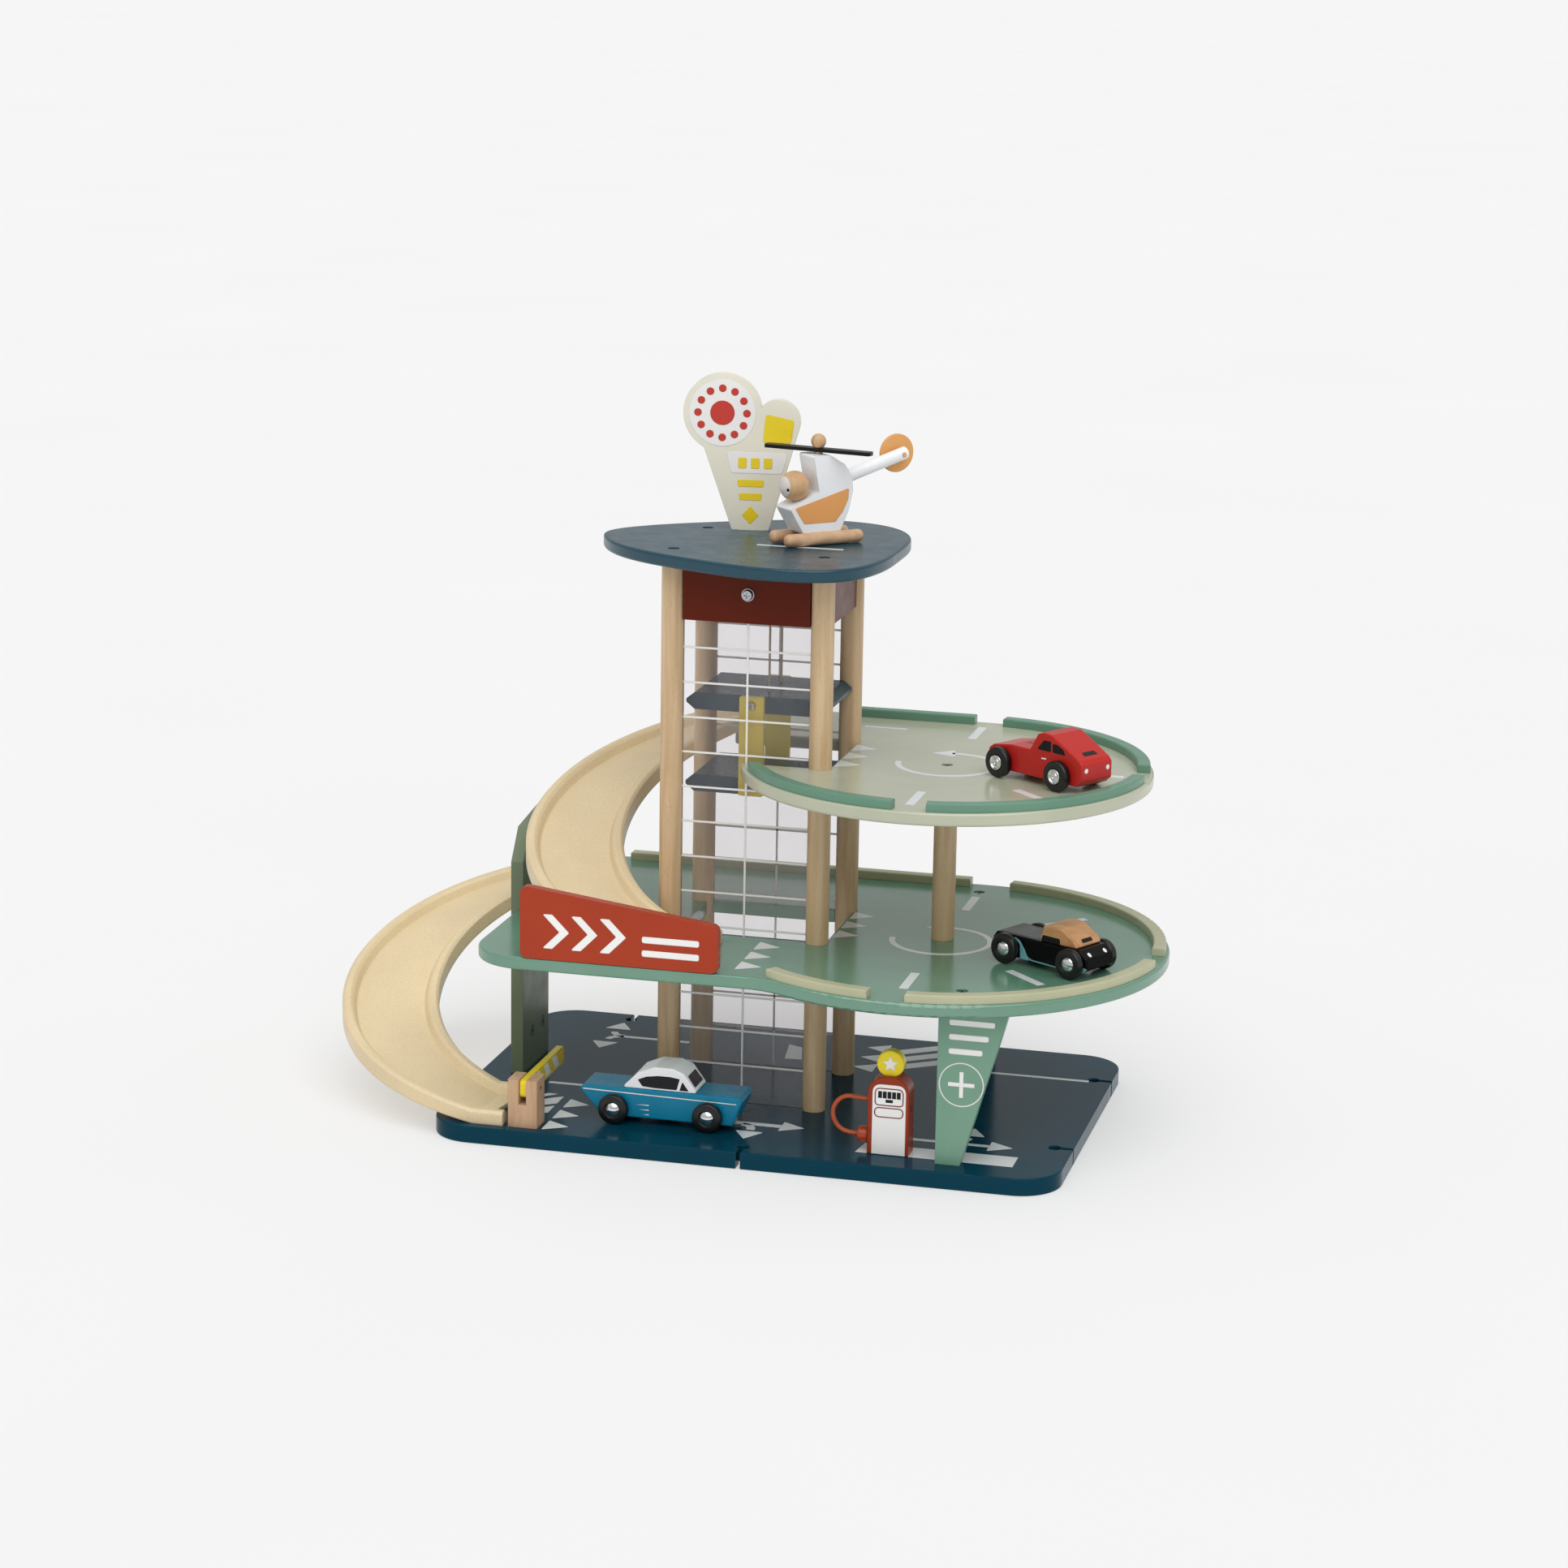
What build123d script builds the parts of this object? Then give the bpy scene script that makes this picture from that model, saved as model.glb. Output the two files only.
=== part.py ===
from build123d import *
import math
import os

# Toy parking garage with a lift, in millimetres. X to the right, Y to the back, Z up.
# The origin is the centre of the base board's underside.

# ---- base board -------------------------------------------------------------------------------
base_width = 440.0
base_depth = 288.0
base_thickness = 12.0
base_corner_radius = 30.0
board_edge_round = 2.0
keyhole_diameter = 8.0
keyhole_inset = 13.0
keyhole_slot_width = 3.0
side_keyhole_y = (-72.0, 85.0)
front_keyhole_x = 3.0
rear_keyhole_x = -152.0

# ---- the three upper boards ---------------------------------------------------------------------
deck_thickness = 9.0
level_one_top = 133.0
level_two_top = 257.0
helipad_top = 403.0
deck_centre_x = 111.0
level_one_centre_y = -7.0
level_one_radius = 158.5
level_one_left_margin = 5.5
level_one_corner_radius = 38.0
level_one_blend_radius = 45.0
level_two_centre_y = -1.5
level_two_radius = 142.0

# ---- lift shaft -----------------------------------------------------------------------------------
post_diameter = 16.0
shaft_left_x = -75.5
shaft_right_x = 30.0
shaft_front_y = -38.5
shaft_rear_y = 50.0
post_clearance = 0.15
window_thickness = 2.0
window_clearance = 0.2
groove_depth = 1.5
winch_panel_thickness = 9.0
winch_panel_height = 39.0

# ---- lift cabin -----------------------------------------------------------------------------------
cabin_board_thickness = 12.0
cabin_floor_top = 244.0
cabin_clear_height = 46.0
cabin_post_clearance = 1.2
cabin_left_x = -68.0
cabin_right_x = 33.0
cabin_tip_length = 12.0
cabin_plate_width = 17.5
cabin_plate_thickness = 4.0
cabin_plate_x = -20.5
cabin_plate_round = 1.5
cabin_opening_gap = 3.0
cabin_screw_head = 6.0
cabin_screw_length = 14.0

# ---- winch ----------------------------------------------------------------------------------------
winch_x = -21.5
winch_z = 375.0
winch_axle_diameter = 5.0
winch_drum_diameter = 14.0
winch_running_clearance = 0.08
winch_end_gap = 0.4
crank_wheel_diameter = 34.0
crank_wheel_thickness = 8.0
crank_knob_diameter = 9.0
crank_knob_length = 20.0
crank_knob_radius = 11.5
lift_cord_diameter = 1.6
lift_cord_spacing = 34.0

# ---- rails round the decks --------------------------------------------------------------------
rail_width = 9.0
rail_height = 6.0
rail_inset = 2.5
level_one_rail_angles = ((2.0, 82.0), (-87.0, -9.0), (-127.0, -96.5))
level_one_back_rail_x = (-156.0, 102.0)
level_two_rail_angles = ((7.5, 84.0), (-84.0, -5.0), (-155.5, -93.5))
level_two_back_rail_x = (18.0, 104.0)

# ---- ramps ----------------------------------------------------------------------------------------
ramp_inner_radius = 66.0
ramp_outer_radius = 134.5
ramp_wall_width = 8.0
ramp_wall_rise = 7.0
ramp_end_floor = 3.0
ramp_mid_floor = 6.5
ramp_run_out = 22.0
ramp_floor_setback = 14.0
ramp_ease = 0.2
ramp_edge_chamfer = 2.0
ramp_joint_gap = 0.2
upper_ramp_centre = (-54.0, 6.5)
lower_ramp_centre = (-188.0, -2.5)

# ---- stands that hold the decks -----------------------------------------------------------------
support_board_thickness = 9.0
support_board_y = (-20.0, 40.0)
support_board_top = (168.0, 196.0)
support_screw_places = ((2.0, 38.0), (27.0, 38.0))
support_screw_length = 7.0
rear_cylinder_diameter = 31.0
rear_cylinder_y = 128.0
pylon_thickness = 9.0
pylon_x = (135.5, 152.5)
pylon_top_right_x = 184.0
pylon_front_inset = 20.0

# ---- signs ----------------------------------------------------------------------------------------
entry_sign_x = (-154.0, -15.0)
entry_sign_ramp_gap = 0.7
entry_sign_heights = (51.0, 33.0)
entry_sign_thickness = 6.8
entry_sign_corner_radius = 5.0
roof_sign_place = (-45.5, 54.0)
roof_sign_turn = 8.0
roof_sign_thickness = 8.0
roof_sign_head_radius = 27.5
roof_sign_head_centre = (-20.5, 82.0)
roof_sign_lobe_radius = 15.5
roof_sign_lobe_centre = (18.5, 76.5)
roof_sign_foot_width = 26.0
roof_sign_tenon = 5.0
roof_sign_tenon_width = 18.0
roof_sign_tenon_clearance = 0.1

# ---- gate -----------------------------------------------------------------------------------------
gate_block_size = (21.0, 18.5, 34.0)
gate_block_x = -151.8
gate_front_inset = 16.7
gate_slot_width = 5.4
gate_arm_thickness = 4.6
gate_arm_height = 12.5
gate_arm_reach = 80.0
gate_arm_tail = 7.5
gate_pin_diameter = 3.0
gate_pin_height = 27.0
gate_running_clearance = 0.08
gate_swing_gap = 0.8

# ---- fuel pump ------------------------------------------------------------------------------------
pump_x = 101.0
pump_front_inset = 31.5
pump_size = (28.5, 16.5, 55.0)
pump_shoulder_radius = 12.0
pump_globe_diameter = 19.0
pump_globe_thickness = 8.0
pump_globe_sink = 1.5
hose_diameter = 3.2
hose_port_height = 36.4
hose_port_run = 8.2
hose_loop_radius = 13.2
hose_loop_corners = 5
hose_loop_reach = 12.4
nozzle_diameter = 11.0
nozzle_length = 8.0
nozzle_height = 11.0

# ---- helicopter -----------------------------------------------------------------------------------
helicopter_place = (11.0, 16.3)
helicopter_turn = 44.5
helicopter_rest_gap = 0.2
helicopter_body_width = 20.0
helicopter_body_height = 53.5
skid_diameter = 9.0
skid_length = 62.0
skid_spacing = 20.0
skid_nesting = 0.8
pilot_diameter = 21.0
pilot_place = (-18.0, 40.5)
boom_diameter = 9.0
boom_root = (14.0, 41.5)
boom_tip = (72.0, 58.5)
tail_disc_diameter = 27.0
tail_disc_thickness = 2.5
tail_pin_diameter = 3.0
tail_running_clearance = 0.08
rotor_length = 80.0
rotor_width = 8.0
rotor_thickness = 2.5
rotor_mast_x = 0.5
rotor_mast_diameter = 3.0
rotor_turn = -56.0
rotor_lift = 1.6
bead_diameter = 10.5

# ---- cars -----------------------------------------------------------------------------------------
wheel_diameter = 21.0
wheel_width = 6.0
wheel_bore = 4.0
wheel_side_gap = 0.5
wheel_rest_gap = 0.2
wheel_running_clearance = 0.08
hub_recess_diameter = 11.2
hub_recess_depth = 1.0
hub_dome_diameter = 10.6
hub_dome_height = 2.4
car_body_width = 30.0
car_edge_round = 1.2
blue_car_x = -61.3
blue_car_front_inset = 52.8
blue_car_turn = 0.0
blue_car_wheelbase = 67.0
red_car_place = (184.4, -26.5)
red_car_turn = 147.1
red_car_wheelbase = 54.0
truck_place = (197.4, -47.2)
truck_turn = -28.0
truck_wheelbase = 55.5

# ---- screws ---------------------------------------------------------------------------------------
screw_head_diameter = 8.0
screw_head_height = 2.4
screw_shank_diameter = 3.5
screw_length = 18.0
screw_recess_depth = 0.6
screw_clearance = 0.05
washer_diameter = 9.0
washer_thickness = 0.8
cross_width = 1.0
cross_length = 4.2
cross_depth = 1.2

# ---- sizes that follow from the ones above ----------------------------------------------------
base_front_y = -base_depth / 2
pylon_y = base_front_y + pylon_front_inset
gate_block_centre = (gate_block_x, base_front_y + gate_front_inset)
pump_centre = (pump_x, base_front_y + pump_front_inset)
blue_car_place = (blue_car_x, base_front_y + blue_car_front_inset)
post_radius = post_diameter / 2
level_one_under = level_one_top - deck_thickness
level_two_under = level_two_top - deck_thickness
helipad_under = helipad_top - deck_thickness
winch_panel_bottom = helipad_under - winch_panel_height
shaft_middle_y = (shaft_front_y + shaft_rear_y) / 2
shaft_inner_width = shaft_right_x - shaft_left_x - post_diameter
shaft_middle_x = (shaft_left_x + shaft_right_x) / 2
level_one_back_y = level_one_centre_y + level_one_radius
entry_sign_back_y = upper_ramp_centre[1] - ramp_outer_radius - entry_sign_ramp_gap
level_one_front_y = entry_sign_back_y - entry_sign_thickness
level_one_left_x = upper_ramp_centre[0] - ramp_outer_radius - level_one_left_margin
level_two_back_y = level_two_centre_y + level_two_radius
cabin_front_y = shaft_front_y + post_radius + cabin_post_clearance
cabin_rear_y = shaft_rear_y - post_radius - cabin_post_clearance
cabin_floor_under = cabin_floor_top - cabin_board_thickness
cabin_roof_under = cabin_floor_top + cabin_clear_height
cabin_roof_top = cabin_roof_under + cabin_board_thickness
post_places = {
    "front_left": (shaft_left_x, shaft_front_y),
    "front_right": (shaft_right_x, shaft_front_y),
    "rear_left": (shaft_left_x, shaft_rear_y),
    "rear_right": (shaft_right_x, shaft_rear_y),
}
support_board_right_x = upper_ramp_centre[0] - ramp_outer_radius - ramp_joint_gap / 2
support_board_left_x = support_board_right_x - support_board_thickness
centre_post_place = (deck_centre_x, level_two_centre_y)
rear_cylinder_place = (deck_centre_x, rear_cylinder_y)
pylon_screw_place = (sum(pylon_x) / 2 + 6.0, pylon_y)

parts = {}


# ---- small helpers ----------------------------------------------------------------------------
def block(x_range, y_range, z_range):
    """A box from its lowest and highest X, Y and Z."""
    size = [high - low for low, high in (x_range, y_range, z_range)]
    middle = [(high + low) / 2 for low, high in (x_range, y_range, z_range)]
    return Pos(*middle) * Box(*size)


def rod(diameter, start, end):
    """A round bar between two points."""
    axis = Vector(*end) - Vector(*start)
    plane = Plane(origin=start, z_dir=axis.normalized())
    return plane * extrude(Circle(diameter / 2), axis.length)


def slab(outline, top, thickness):
    """A board of a flat outline, with its top face at the given height."""
    return Pos(0, 0, top - thickness) * extrude(outline, thickness)


def softened(solid, radius):
    """The solid with the edges of its top and bottom faces rounded."""
    faces = solid.faces().sort_by(Axis.Z)
    return fillet(faces[-1].edges() + faces[0].edges(), radius)


def arc_point(centre, radius, degrees):
    angle = math.radians(degrees)
    return (centre[0] + radius * math.cos(angle), centre[1] + radius * math.sin(angle))


def screw(head_diameter=screw_head_diameter, length=screw_length):
    """A pan-head screw standing on its tip side, with the top of its head at the origin."""
    head = Pos(0, 0, -screw_head_height) * Cone(
        head_diameter / 2, head_diameter * 0.4, screw_head_height,
        align=(Align.CENTER, Align.CENTER, Align.MIN))
    shank = Pos(0, 0, -length) * Cylinder(
        screw_shank_diameter / 2, length - screw_head_height,
        align=(Align.CENTER, Align.CENTER, Align.MIN))
    slot = Pos(0, 0, -cross_depth / 2) * Box(cross_length, cross_width, cross_depth)
    return head + shank - slot - Rot(0, 0, 90) * slot


def screw_hole(head_diameter=screw_head_diameter, length=screw_length, above=0.0):
    """The room that a screw takes, with its clearance, and a recess above its head."""
    head = Pos(0, 0, -screw_head_height - screw_clearance) * Cylinder(
        head_diameter / 2 + screw_clearance, screw_head_height + screw_clearance + above,
        align=(Align.CENTER, Align.CENTER, Align.MIN))
    shank = Pos(0, 0, -length - screw_clearance) * Cylinder(
        screw_shank_diameter / 2 + screw_clearance, length,
        align=(Align.CENTER, Align.CENTER, Align.MIN))
    return head + shank


def keep(name, *solids):
    """Store one sub-part: a single solid, or several alike as a group."""
    found = [solid for shape in solids for solid in shape.solids()]
    parts[name] = found[0] if len(found) == 1 else Compound(children=found)


# ---- where the screws go --------------------------------------------------------------------------
top_screw_places = [(x, y, helipad_top) for x, y in post_places.values()]
top_screw_places.append((*centre_post_place, level_two_top))
top_screw_places.append((*rear_cylinder_place, level_one_top))
top_screw_places.append((*pylon_screw_place, level_one_top))
base_screw_places = list(post_places.values())
base_screw_places.append(rear_cylinder_place)
base_screw_places.append((sum(pylon_x) / 2, pylon_y))
base_screw_places.append(gate_block_centre)
base_screw_places.append(pump_centre)


def top_screw_room(top):
    """All the screw holes under the heads that lie in the board with this top face."""
    places = [place for place in top_screw_places if place[2] == top]
    rooms = [Pos(x, y, z - screw_recess_depth) * screw_hole(above=1.0) for x, y, z in places]
    return rooms


def base_screw_room():
    return [Pos(x, y, screw_recess_depth) * Rot(180, 0, 0) * screw_hole(above=1.0)
            for x, y in base_screw_places]


centre_post_screw = Pos(*centre_post_place, level_one_under + screw_recess_depth) * Rot(180, 0, 0)


# ---- base board -----------------------------------------------------------------------------------
def keyhole(x, y, direction):
    """A round hole near the edge with a slot that runs out to the edge."""
    hole = Pos(x, y) * Circle(keyhole_diameter / 2)
    reach = keyhole_inset * 2
    slot = Pos(x, y) * Rot(0, 0, direction) * Pos(reach / 2, 0) * Rectangle(reach, keyhole_slot_width)
    return hole + slot


def make_base_board():
    outline = RectangleRounded(base_width, base_depth, base_corner_radius)
    edge_x = base_width / 2 - keyhole_inset
    edge_y = base_depth / 2 - keyhole_inset
    for y in side_keyhole_y:
        outline -= keyhole(edge_x, y, 0)
        outline -= keyhole(-edge_x, y, 180)
    outline -= keyhole(front_keyhole_x, -edge_y, 270)
    outline -= keyhole(rear_keyhole_x, edge_y, 90)
    board = softened(slab(outline, base_thickness, base_thickness), board_edge_round / 2)
    for room in base_screw_room():
        board -= room
    keep("base_board", board)


# ---- level one ------------------------------------------------------------------------------------
def post_holes(names, low, high):
    radius = post_radius + post_clearance
    holes = []
    for name in names:
        x, y = post_places[name]
        holes.append(rod(2 * radius, (x, y, low), (x, y, high)))
    return holes


def shaft_opening(z_range):
    """The open well in which the cabin travels, clear of both boards of the cabin."""
    x_range = (cabin_left_x - cabin_opening_gap, cabin_right_x + cabin_opening_gap)
    y_range = (shaft_front_y + window_thickness, shaft_rear_y - window_thickness)
    return block(x_range, y_range, z_range)


def make_level_one_board():
    disc_centre = (deck_centre_x, level_one_centre_y)
    disc = Pos(*disc_centre) * Circle(level_one_radius)
    wide = deck_centre_x - level_one_left_x
    deep = level_one_back_y - level_one_front_y
    left = Pos(level_one_left_x + wide / 2, level_one_front_y + deep / 2) * Rectangle(wide, deep)
    left_corners = left.vertices().group_by(Axis.X)[0]
    outline = disc + fillet(left_corners, level_one_corner_radius)
    rise = level_one_front_y - level_one_centre_y
    meeting_x = deck_centre_x - math.sqrt(level_one_radius ** 2 - rise ** 2)
    corner = outline.vertices().sort_by_distance((meeting_x, level_one_front_y, 0))[0]
    outline = fillet([corner], level_one_blend_radius)
    board = softened(slab(outline, level_one_top, deck_thickness), board_edge_round)
    z_range = (level_one_under - 1, level_one_top + 1)
    board -= shaft_opening(z_range)
    for hole in post_holes(post_places, *z_range):
        board -= hole
    gap = ramp_joint_gap
    board -= block((level_one_left_x - 20, support_board_right_x + gap),
                   (support_board_y[0] - gap, support_board_y[1] + gap), z_range)
    ramp_x, ramp_y = lower_ramp_centre
    board -= block((level_one_left_x - 20, ramp_x + gap),
                   (ramp_y + ramp_inner_radius - gap, ramp_y + ramp_outer_radius + gap), z_range)
    for room in top_screw_room(level_one_top):
        board -= room
    board -= centre_post_screw * screw_hole(above=1.0)
    keep("level_one_board", board)


# ---- level two ------------------------------------------------------------------------------------
def make_level_two_board():
    disc = Pos(deck_centre_x, level_two_centre_y) * Circle(level_two_radius)
    strip_left = upper_ramp_centre[0] + ramp_joint_gap
    strip_front = shaft_rear_y + window_thickness
    wide = deck_centre_x - strip_left
    deep = level_two_back_y - strip_front
    strip = Pos(strip_left + wide / 2, strip_front + deep / 2) * Rectangle(wide, deep)
    outline = disc + strip
    well_right = cabin_right_x + cabin_opening_gap
    well_front = shaft_front_y - window_thickness
    well_left = strip_left - post_diameter
    well = Pos((well_right + well_left) / 2, (well_front + strip_front) / 2) * Rectangle(
        well_right - well_left, strip_front - well_front)
    outline -= well
    board = softened(slab(outline, level_two_top, deck_thickness), board_edge_round)
    z_range = (level_two_under - 1, level_two_top + 1)
    for hole in post_holes(("front_right", "rear_right"), *z_range):
        board -= hole
    for room in top_screw_room(level_two_top):
        board -= room
    keep("level_two_board", board)


# ---- helipad --------------------------------------------------------------------------------------
helipad_outline = (
    (-138.0, 4.0), (-114.0, -36.0), (-52.0, -74.0), (6.0, -91.0), (50.0, -80.0), (69.0, -40.0),
    (72.0, 15.0), (67.0, 66.0), (44.0, 100.0), (8.0, 112.0), (-62.0, 86.0), (-118.0, 47.0),
)


def roof_sign_frame():
    return Pos(*roof_sign_place, helipad_top) * Rot(0, 0, roof_sign_turn)


def make_helipad_board():
    outline = make_face(Spline(*helipad_outline, periodic=True))
    board = softened(slab(outline, helipad_top, deck_thickness), board_edge_round)
    for room in top_screw_room(helipad_top):
        board -= room
    room = 2 * roof_sign_tenon_clearance
    tenon = Pos(0, 0, -roof_sign_tenon / 2) * Box(
        roof_sign_tenon_width + room, roof_sign_thickness + room, roof_sign_tenon + room)
    board -= roof_sign_frame() * tenon
    keep("helipad_board", board)


# ---- posts ----------------------------------------------------------------------------------------
def window_groove(x, y, side, low, high):
    """A groove in a post's side for the edge of a window."""
    deep = groove_depth + window_clearance
    middle_x = x + side * (post_radius - deep / 2 + 0.5)
    return block((middle_x - deep / 2 - 0.5, middle_x + deep / 2 + 0.5),
                 (y - window_thickness / 2 - window_clearance / 2,
                  y + window_thickness / 2 + window_clearance / 2), (low, high))


def make_posts():
    for name, (x, y) in post_places.items():
        post = rod(post_diameter, (x, y, base_thickness), (x, y, helipad_under))
        side = 1 if x == shaft_left_x else -1
        post -= window_groove(x, y, side, base_thickness - 1, winch_panel_bottom)
        post -= Pos(x, y, helipad_top - screw_recess_depth) * screw_hole()
        post -= Pos(x, y, screw_recess_depth) * Rot(180, 0, 0) * screw_hole()
        keep("lift_post_" + name, post)
    x, y = centre_post_place
    post = rod(post_diameter, (x, y, level_one_top), (x, y, level_two_under))
    post -= Pos(x, y, level_two_top - screw_recess_depth) * screw_hole()
    post -= centre_post_screw * screw_hole()
    keep("centre_post", post)


# ---- windows and winch panels ---------------------------------------------------------------------
def window(y, low, high):
    half = shaft_inner_width / 2 + groove_depth
    return block((shaft_middle_x - half, shaft_middle_x + half),
                 (y - window_thickness / 2, y + window_thickness / 2), (low, high))


def make_windows():
    keep("window_front_upper", window(shaft_front_y, level_one_top, winch_panel_bottom))
    keep("window_rear_upper", window(shaft_rear_y, level_one_top, winch_panel_bottom))
    keep("lower_windows", window(shaft_front_y, base_thickness, level_one_under),
         window(shaft_rear_y, base_thickness, level_one_under))


def make_winch_panels():
    half_x = shaft_inner_width / 2
    half_t = winch_panel_thickness / 2
    z_range = (winch_panel_bottom, helipad_under)
    bore = winch_axle_diameter + 2 * winch_running_clearance
    for name, y in (("winch_panel_front", shaft_front_y), ("winch_panel_rear", shaft_rear_y)):
        panel = block((shaft_middle_x - half_x, shaft_middle_x + half_x),
                      (y - half_t, y + half_t), z_range)
        panel -= rod(bore, (winch_x, y - 10, winch_z), (winch_x, y + 10, winch_z))
        keep(name, panel)
    y_range = (shaft_front_y + post_radius, shaft_rear_y - post_radius)
    sides = [block((x - half_t, x + half_t), y_range, z_range)
             for x in (shaft_left_x, shaft_right_x)]
    keep("winch_side_panels", *sides)


# ---- winch ----------------------------------------------------------------------------------------
winch_front_face = shaft_front_y - winch_panel_thickness / 2
winch_rear_face = shaft_rear_y + winch_panel_thickness / 2
crank_front_y = winch_rear_face + winch_end_gap
crank_rear_y = crank_front_y + crank_wheel_thickness
crank_knob_place = (winch_x + crank_knob_radius, winch_z)


def make_winch():
    head_face = winch_front_face - winch_end_gap - washer_thickness
    shank = rod(winch_axle_diameter, (winch_x, head_face, winch_z), (winch_x, crank_rear_y, winch_z))
    washer = rod(washer_diameter, (winch_x, head_face, winch_z),
                 (winch_x, head_face + washer_thickness, winch_z))
    head = Pos(winch_x, head_face - screw_head_height, winch_z) * Rot(90, 0, 0) * screw(
        length=screw_head_height + 1)
    keep("winch_axle", shank + washer + head)
    drum_front = shaft_front_y + winch_panel_thickness / 2 + winch_end_gap
    drum_rear = shaft_rear_y - winch_panel_thickness / 2 - winch_end_gap
    bore = winch_axle_diameter + 2 * screw_clearance
    drum = rod(winch_drum_diameter, (winch_x, drum_front, winch_z), (winch_x, drum_rear, winch_z))
    flange_diameter = winch_drum_diameter + 8
    for y in (drum_front, drum_rear - 3):
        drum += rod(flange_diameter, (winch_x, y, winch_z), (winch_x, y + 3, winch_z))
    drum -= rod(bore, (winch_x, drum_front - 1, winch_z), (winch_x, drum_rear + 1, winch_z))
    keep("winch_drum", drum)
    wheel = rod(crank_wheel_diameter, (winch_x, crank_front_y, winch_z),
                (winch_x, crank_rear_y, winch_z))
    wheel = fillet(wheel.edges(), 1.0)
    wheel -= rod(bore, (winch_x, crank_front_y - 1, winch_z), (winch_x, crank_rear_y + 1, winch_z))
    knob_x, knob_z = crank_knob_place
    peg_length = crank_wheel_thickness * 0.75
    peg_diameter = crank_knob_diameter * 0.6
    wheel -= rod(peg_diameter + 2 * screw_clearance, (knob_x, crank_rear_y - peg_length, knob_z),
                 (knob_x, crank_rear_y + 1, knob_z))
    keep("crank_wheel", wheel)
    knob = rod(crank_knob_diameter, (knob_x, crank_rear_y, knob_z),
               (knob_x, crank_rear_y + crank_knob_length, knob_z))
    knob = fillet(knob.edges().sort_by(Axis.Y)[-1], 3.5)
    knob += rod(peg_diameter, (knob_x, crank_rear_y - peg_length + screw_clearance, knob_z),
                (knob_x, crank_rear_y + 1, knob_z))
    keep("crank_knob", knob)


# ---- lift cabin -----------------------------------------------------------------------------------
def cabin_screw_places():
    """Each screw of the cabin: its head's place and the way that it faces along Y."""
    heights = (cabin_floor_top - cabin_board_thickness / 2,
               cabin_roof_under + cabin_board_thickness / 2)
    front = cabin_front_y - cabin_plate_thickness - screw_head_height
    rear = cabin_rear_y + cabin_plate_thickness + screw_head_height
    places = [(cabin_plate_x, front, z, 90) for z in heights]
    places += [(cabin_plate_x, rear, z, -90) for z in heights]
    return places


def make_cabin_board(name, under):
    """A board with slanted ends, so that its two long tips point to the sides."""
    left, right = cabin_left_x, cabin_right_x
    front, rear = cabin_front_y, cabin_rear_y
    board = block((left, right), (front, rear), (under, under + cabin_board_thickness))
    ends = board.edges().filter_by(Axis.Y)
    board = chamfer(ends, cabin_board_thickness * 0.4, cabin_tip_length * 0.5)
    for x, y, z, turn in cabin_screw_places():
        board -= Pos(x, y, z) * Rot(turn, 0, 0) * screw_hole(cabin_screw_head, cabin_screw_length)
    keep(name, board)


def make_cabin():
    make_cabin_board("lift_floor", cabin_floor_under)
    make_cabin_board("lift_roof", cabin_roof_under)
    half = cabin_plate_width / 2
    plates = []
    for y_range in ((cabin_front_y - cabin_plate_thickness, cabin_front_y),
                    (cabin_rear_y, cabin_rear_y + cabin_plate_thickness)):
        plate = block((cabin_plate_x - half, cabin_plate_x + half), y_range,
                      (cabin_floor_under, cabin_roof_top))
        plate = fillet(plate.edges().filter_by(Axis.Y), cabin_plate_round)
        for x, y, z, turn in cabin_screw_places():
            plate -= Pos(x, y, z) * Rot(turn, 0, 0) * screw_hole(cabin_screw_head, cabin_screw_length)
        plates.append(plate)
    keep("lift_side_plates", *plates)
    screws = [Pos(x, y, z) * Rot(turn, 0, 0) * screw(cabin_screw_head, cabin_screw_length)
              for x, y, z, turn in cabin_screw_places()]
    keep("lift_screws", *screws)
    cord_x = winch_x + winch_drum_diameter / 2 + lift_cord_diameter / 2
    cords = [rod(lift_cord_diameter, (cord_x, y, cabin_roof_top), (cord_x, y, winch_z))
             for y in (shaft_middle_y - lift_cord_spacing / 2, shaft_middle_y + lift_cord_spacing / 2)]
    keep("lift_cords", *cords)


# ---- rails ----------------------------------------------------------------------------------------
def curved_rail(centre, outer_radius, start, end, low):
    ring = Circle(outer_radius) - Circle(outer_radius - rail_width)
    reach = 2 * outer_radius
    middle = (start + end) / 2
    wedge = Polygon((0, 0), arc_point((0, 0), reach, start), arc_point((0, 0), reach, middle),
                    arc_point((0, 0), reach, end), align=None)
    rail = Pos(*centre, low) * extrude(ring & wedge, rail_height)
    return fillet(rail.faces().sort_by(Axis.Z)[-1].edges(), 1.2)


def straight_rail(x_range, outer_y, low):
    rail = block(x_range, (outer_y - rail_width, outer_y), (low, low + rail_height))
    return fillet(rail.faces().sort_by(Axis.Z)[-1].edges(), 1.2)


def make_rails():
    levels = (
        ("level_one_rails", level_one_top, level_one_radius, level_one_centre_y,
         level_one_rail_angles, level_one_back_rail_x),
        ("level_two_rails", level_two_top, level_two_radius, level_two_centre_y,
         level_two_rail_angles, level_two_back_rail_x),
    )
    for name, top, radius, centre_y, angles, back_x in levels:
        rails = [curved_rail((deck_centre_x, centre_y), radius - rail_inset, start, end, top)
                 for start, end in angles]
        rails.append(straight_rail(back_x, centre_y + radius - rail_inset, top))
        keep(name, *rails)


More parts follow.
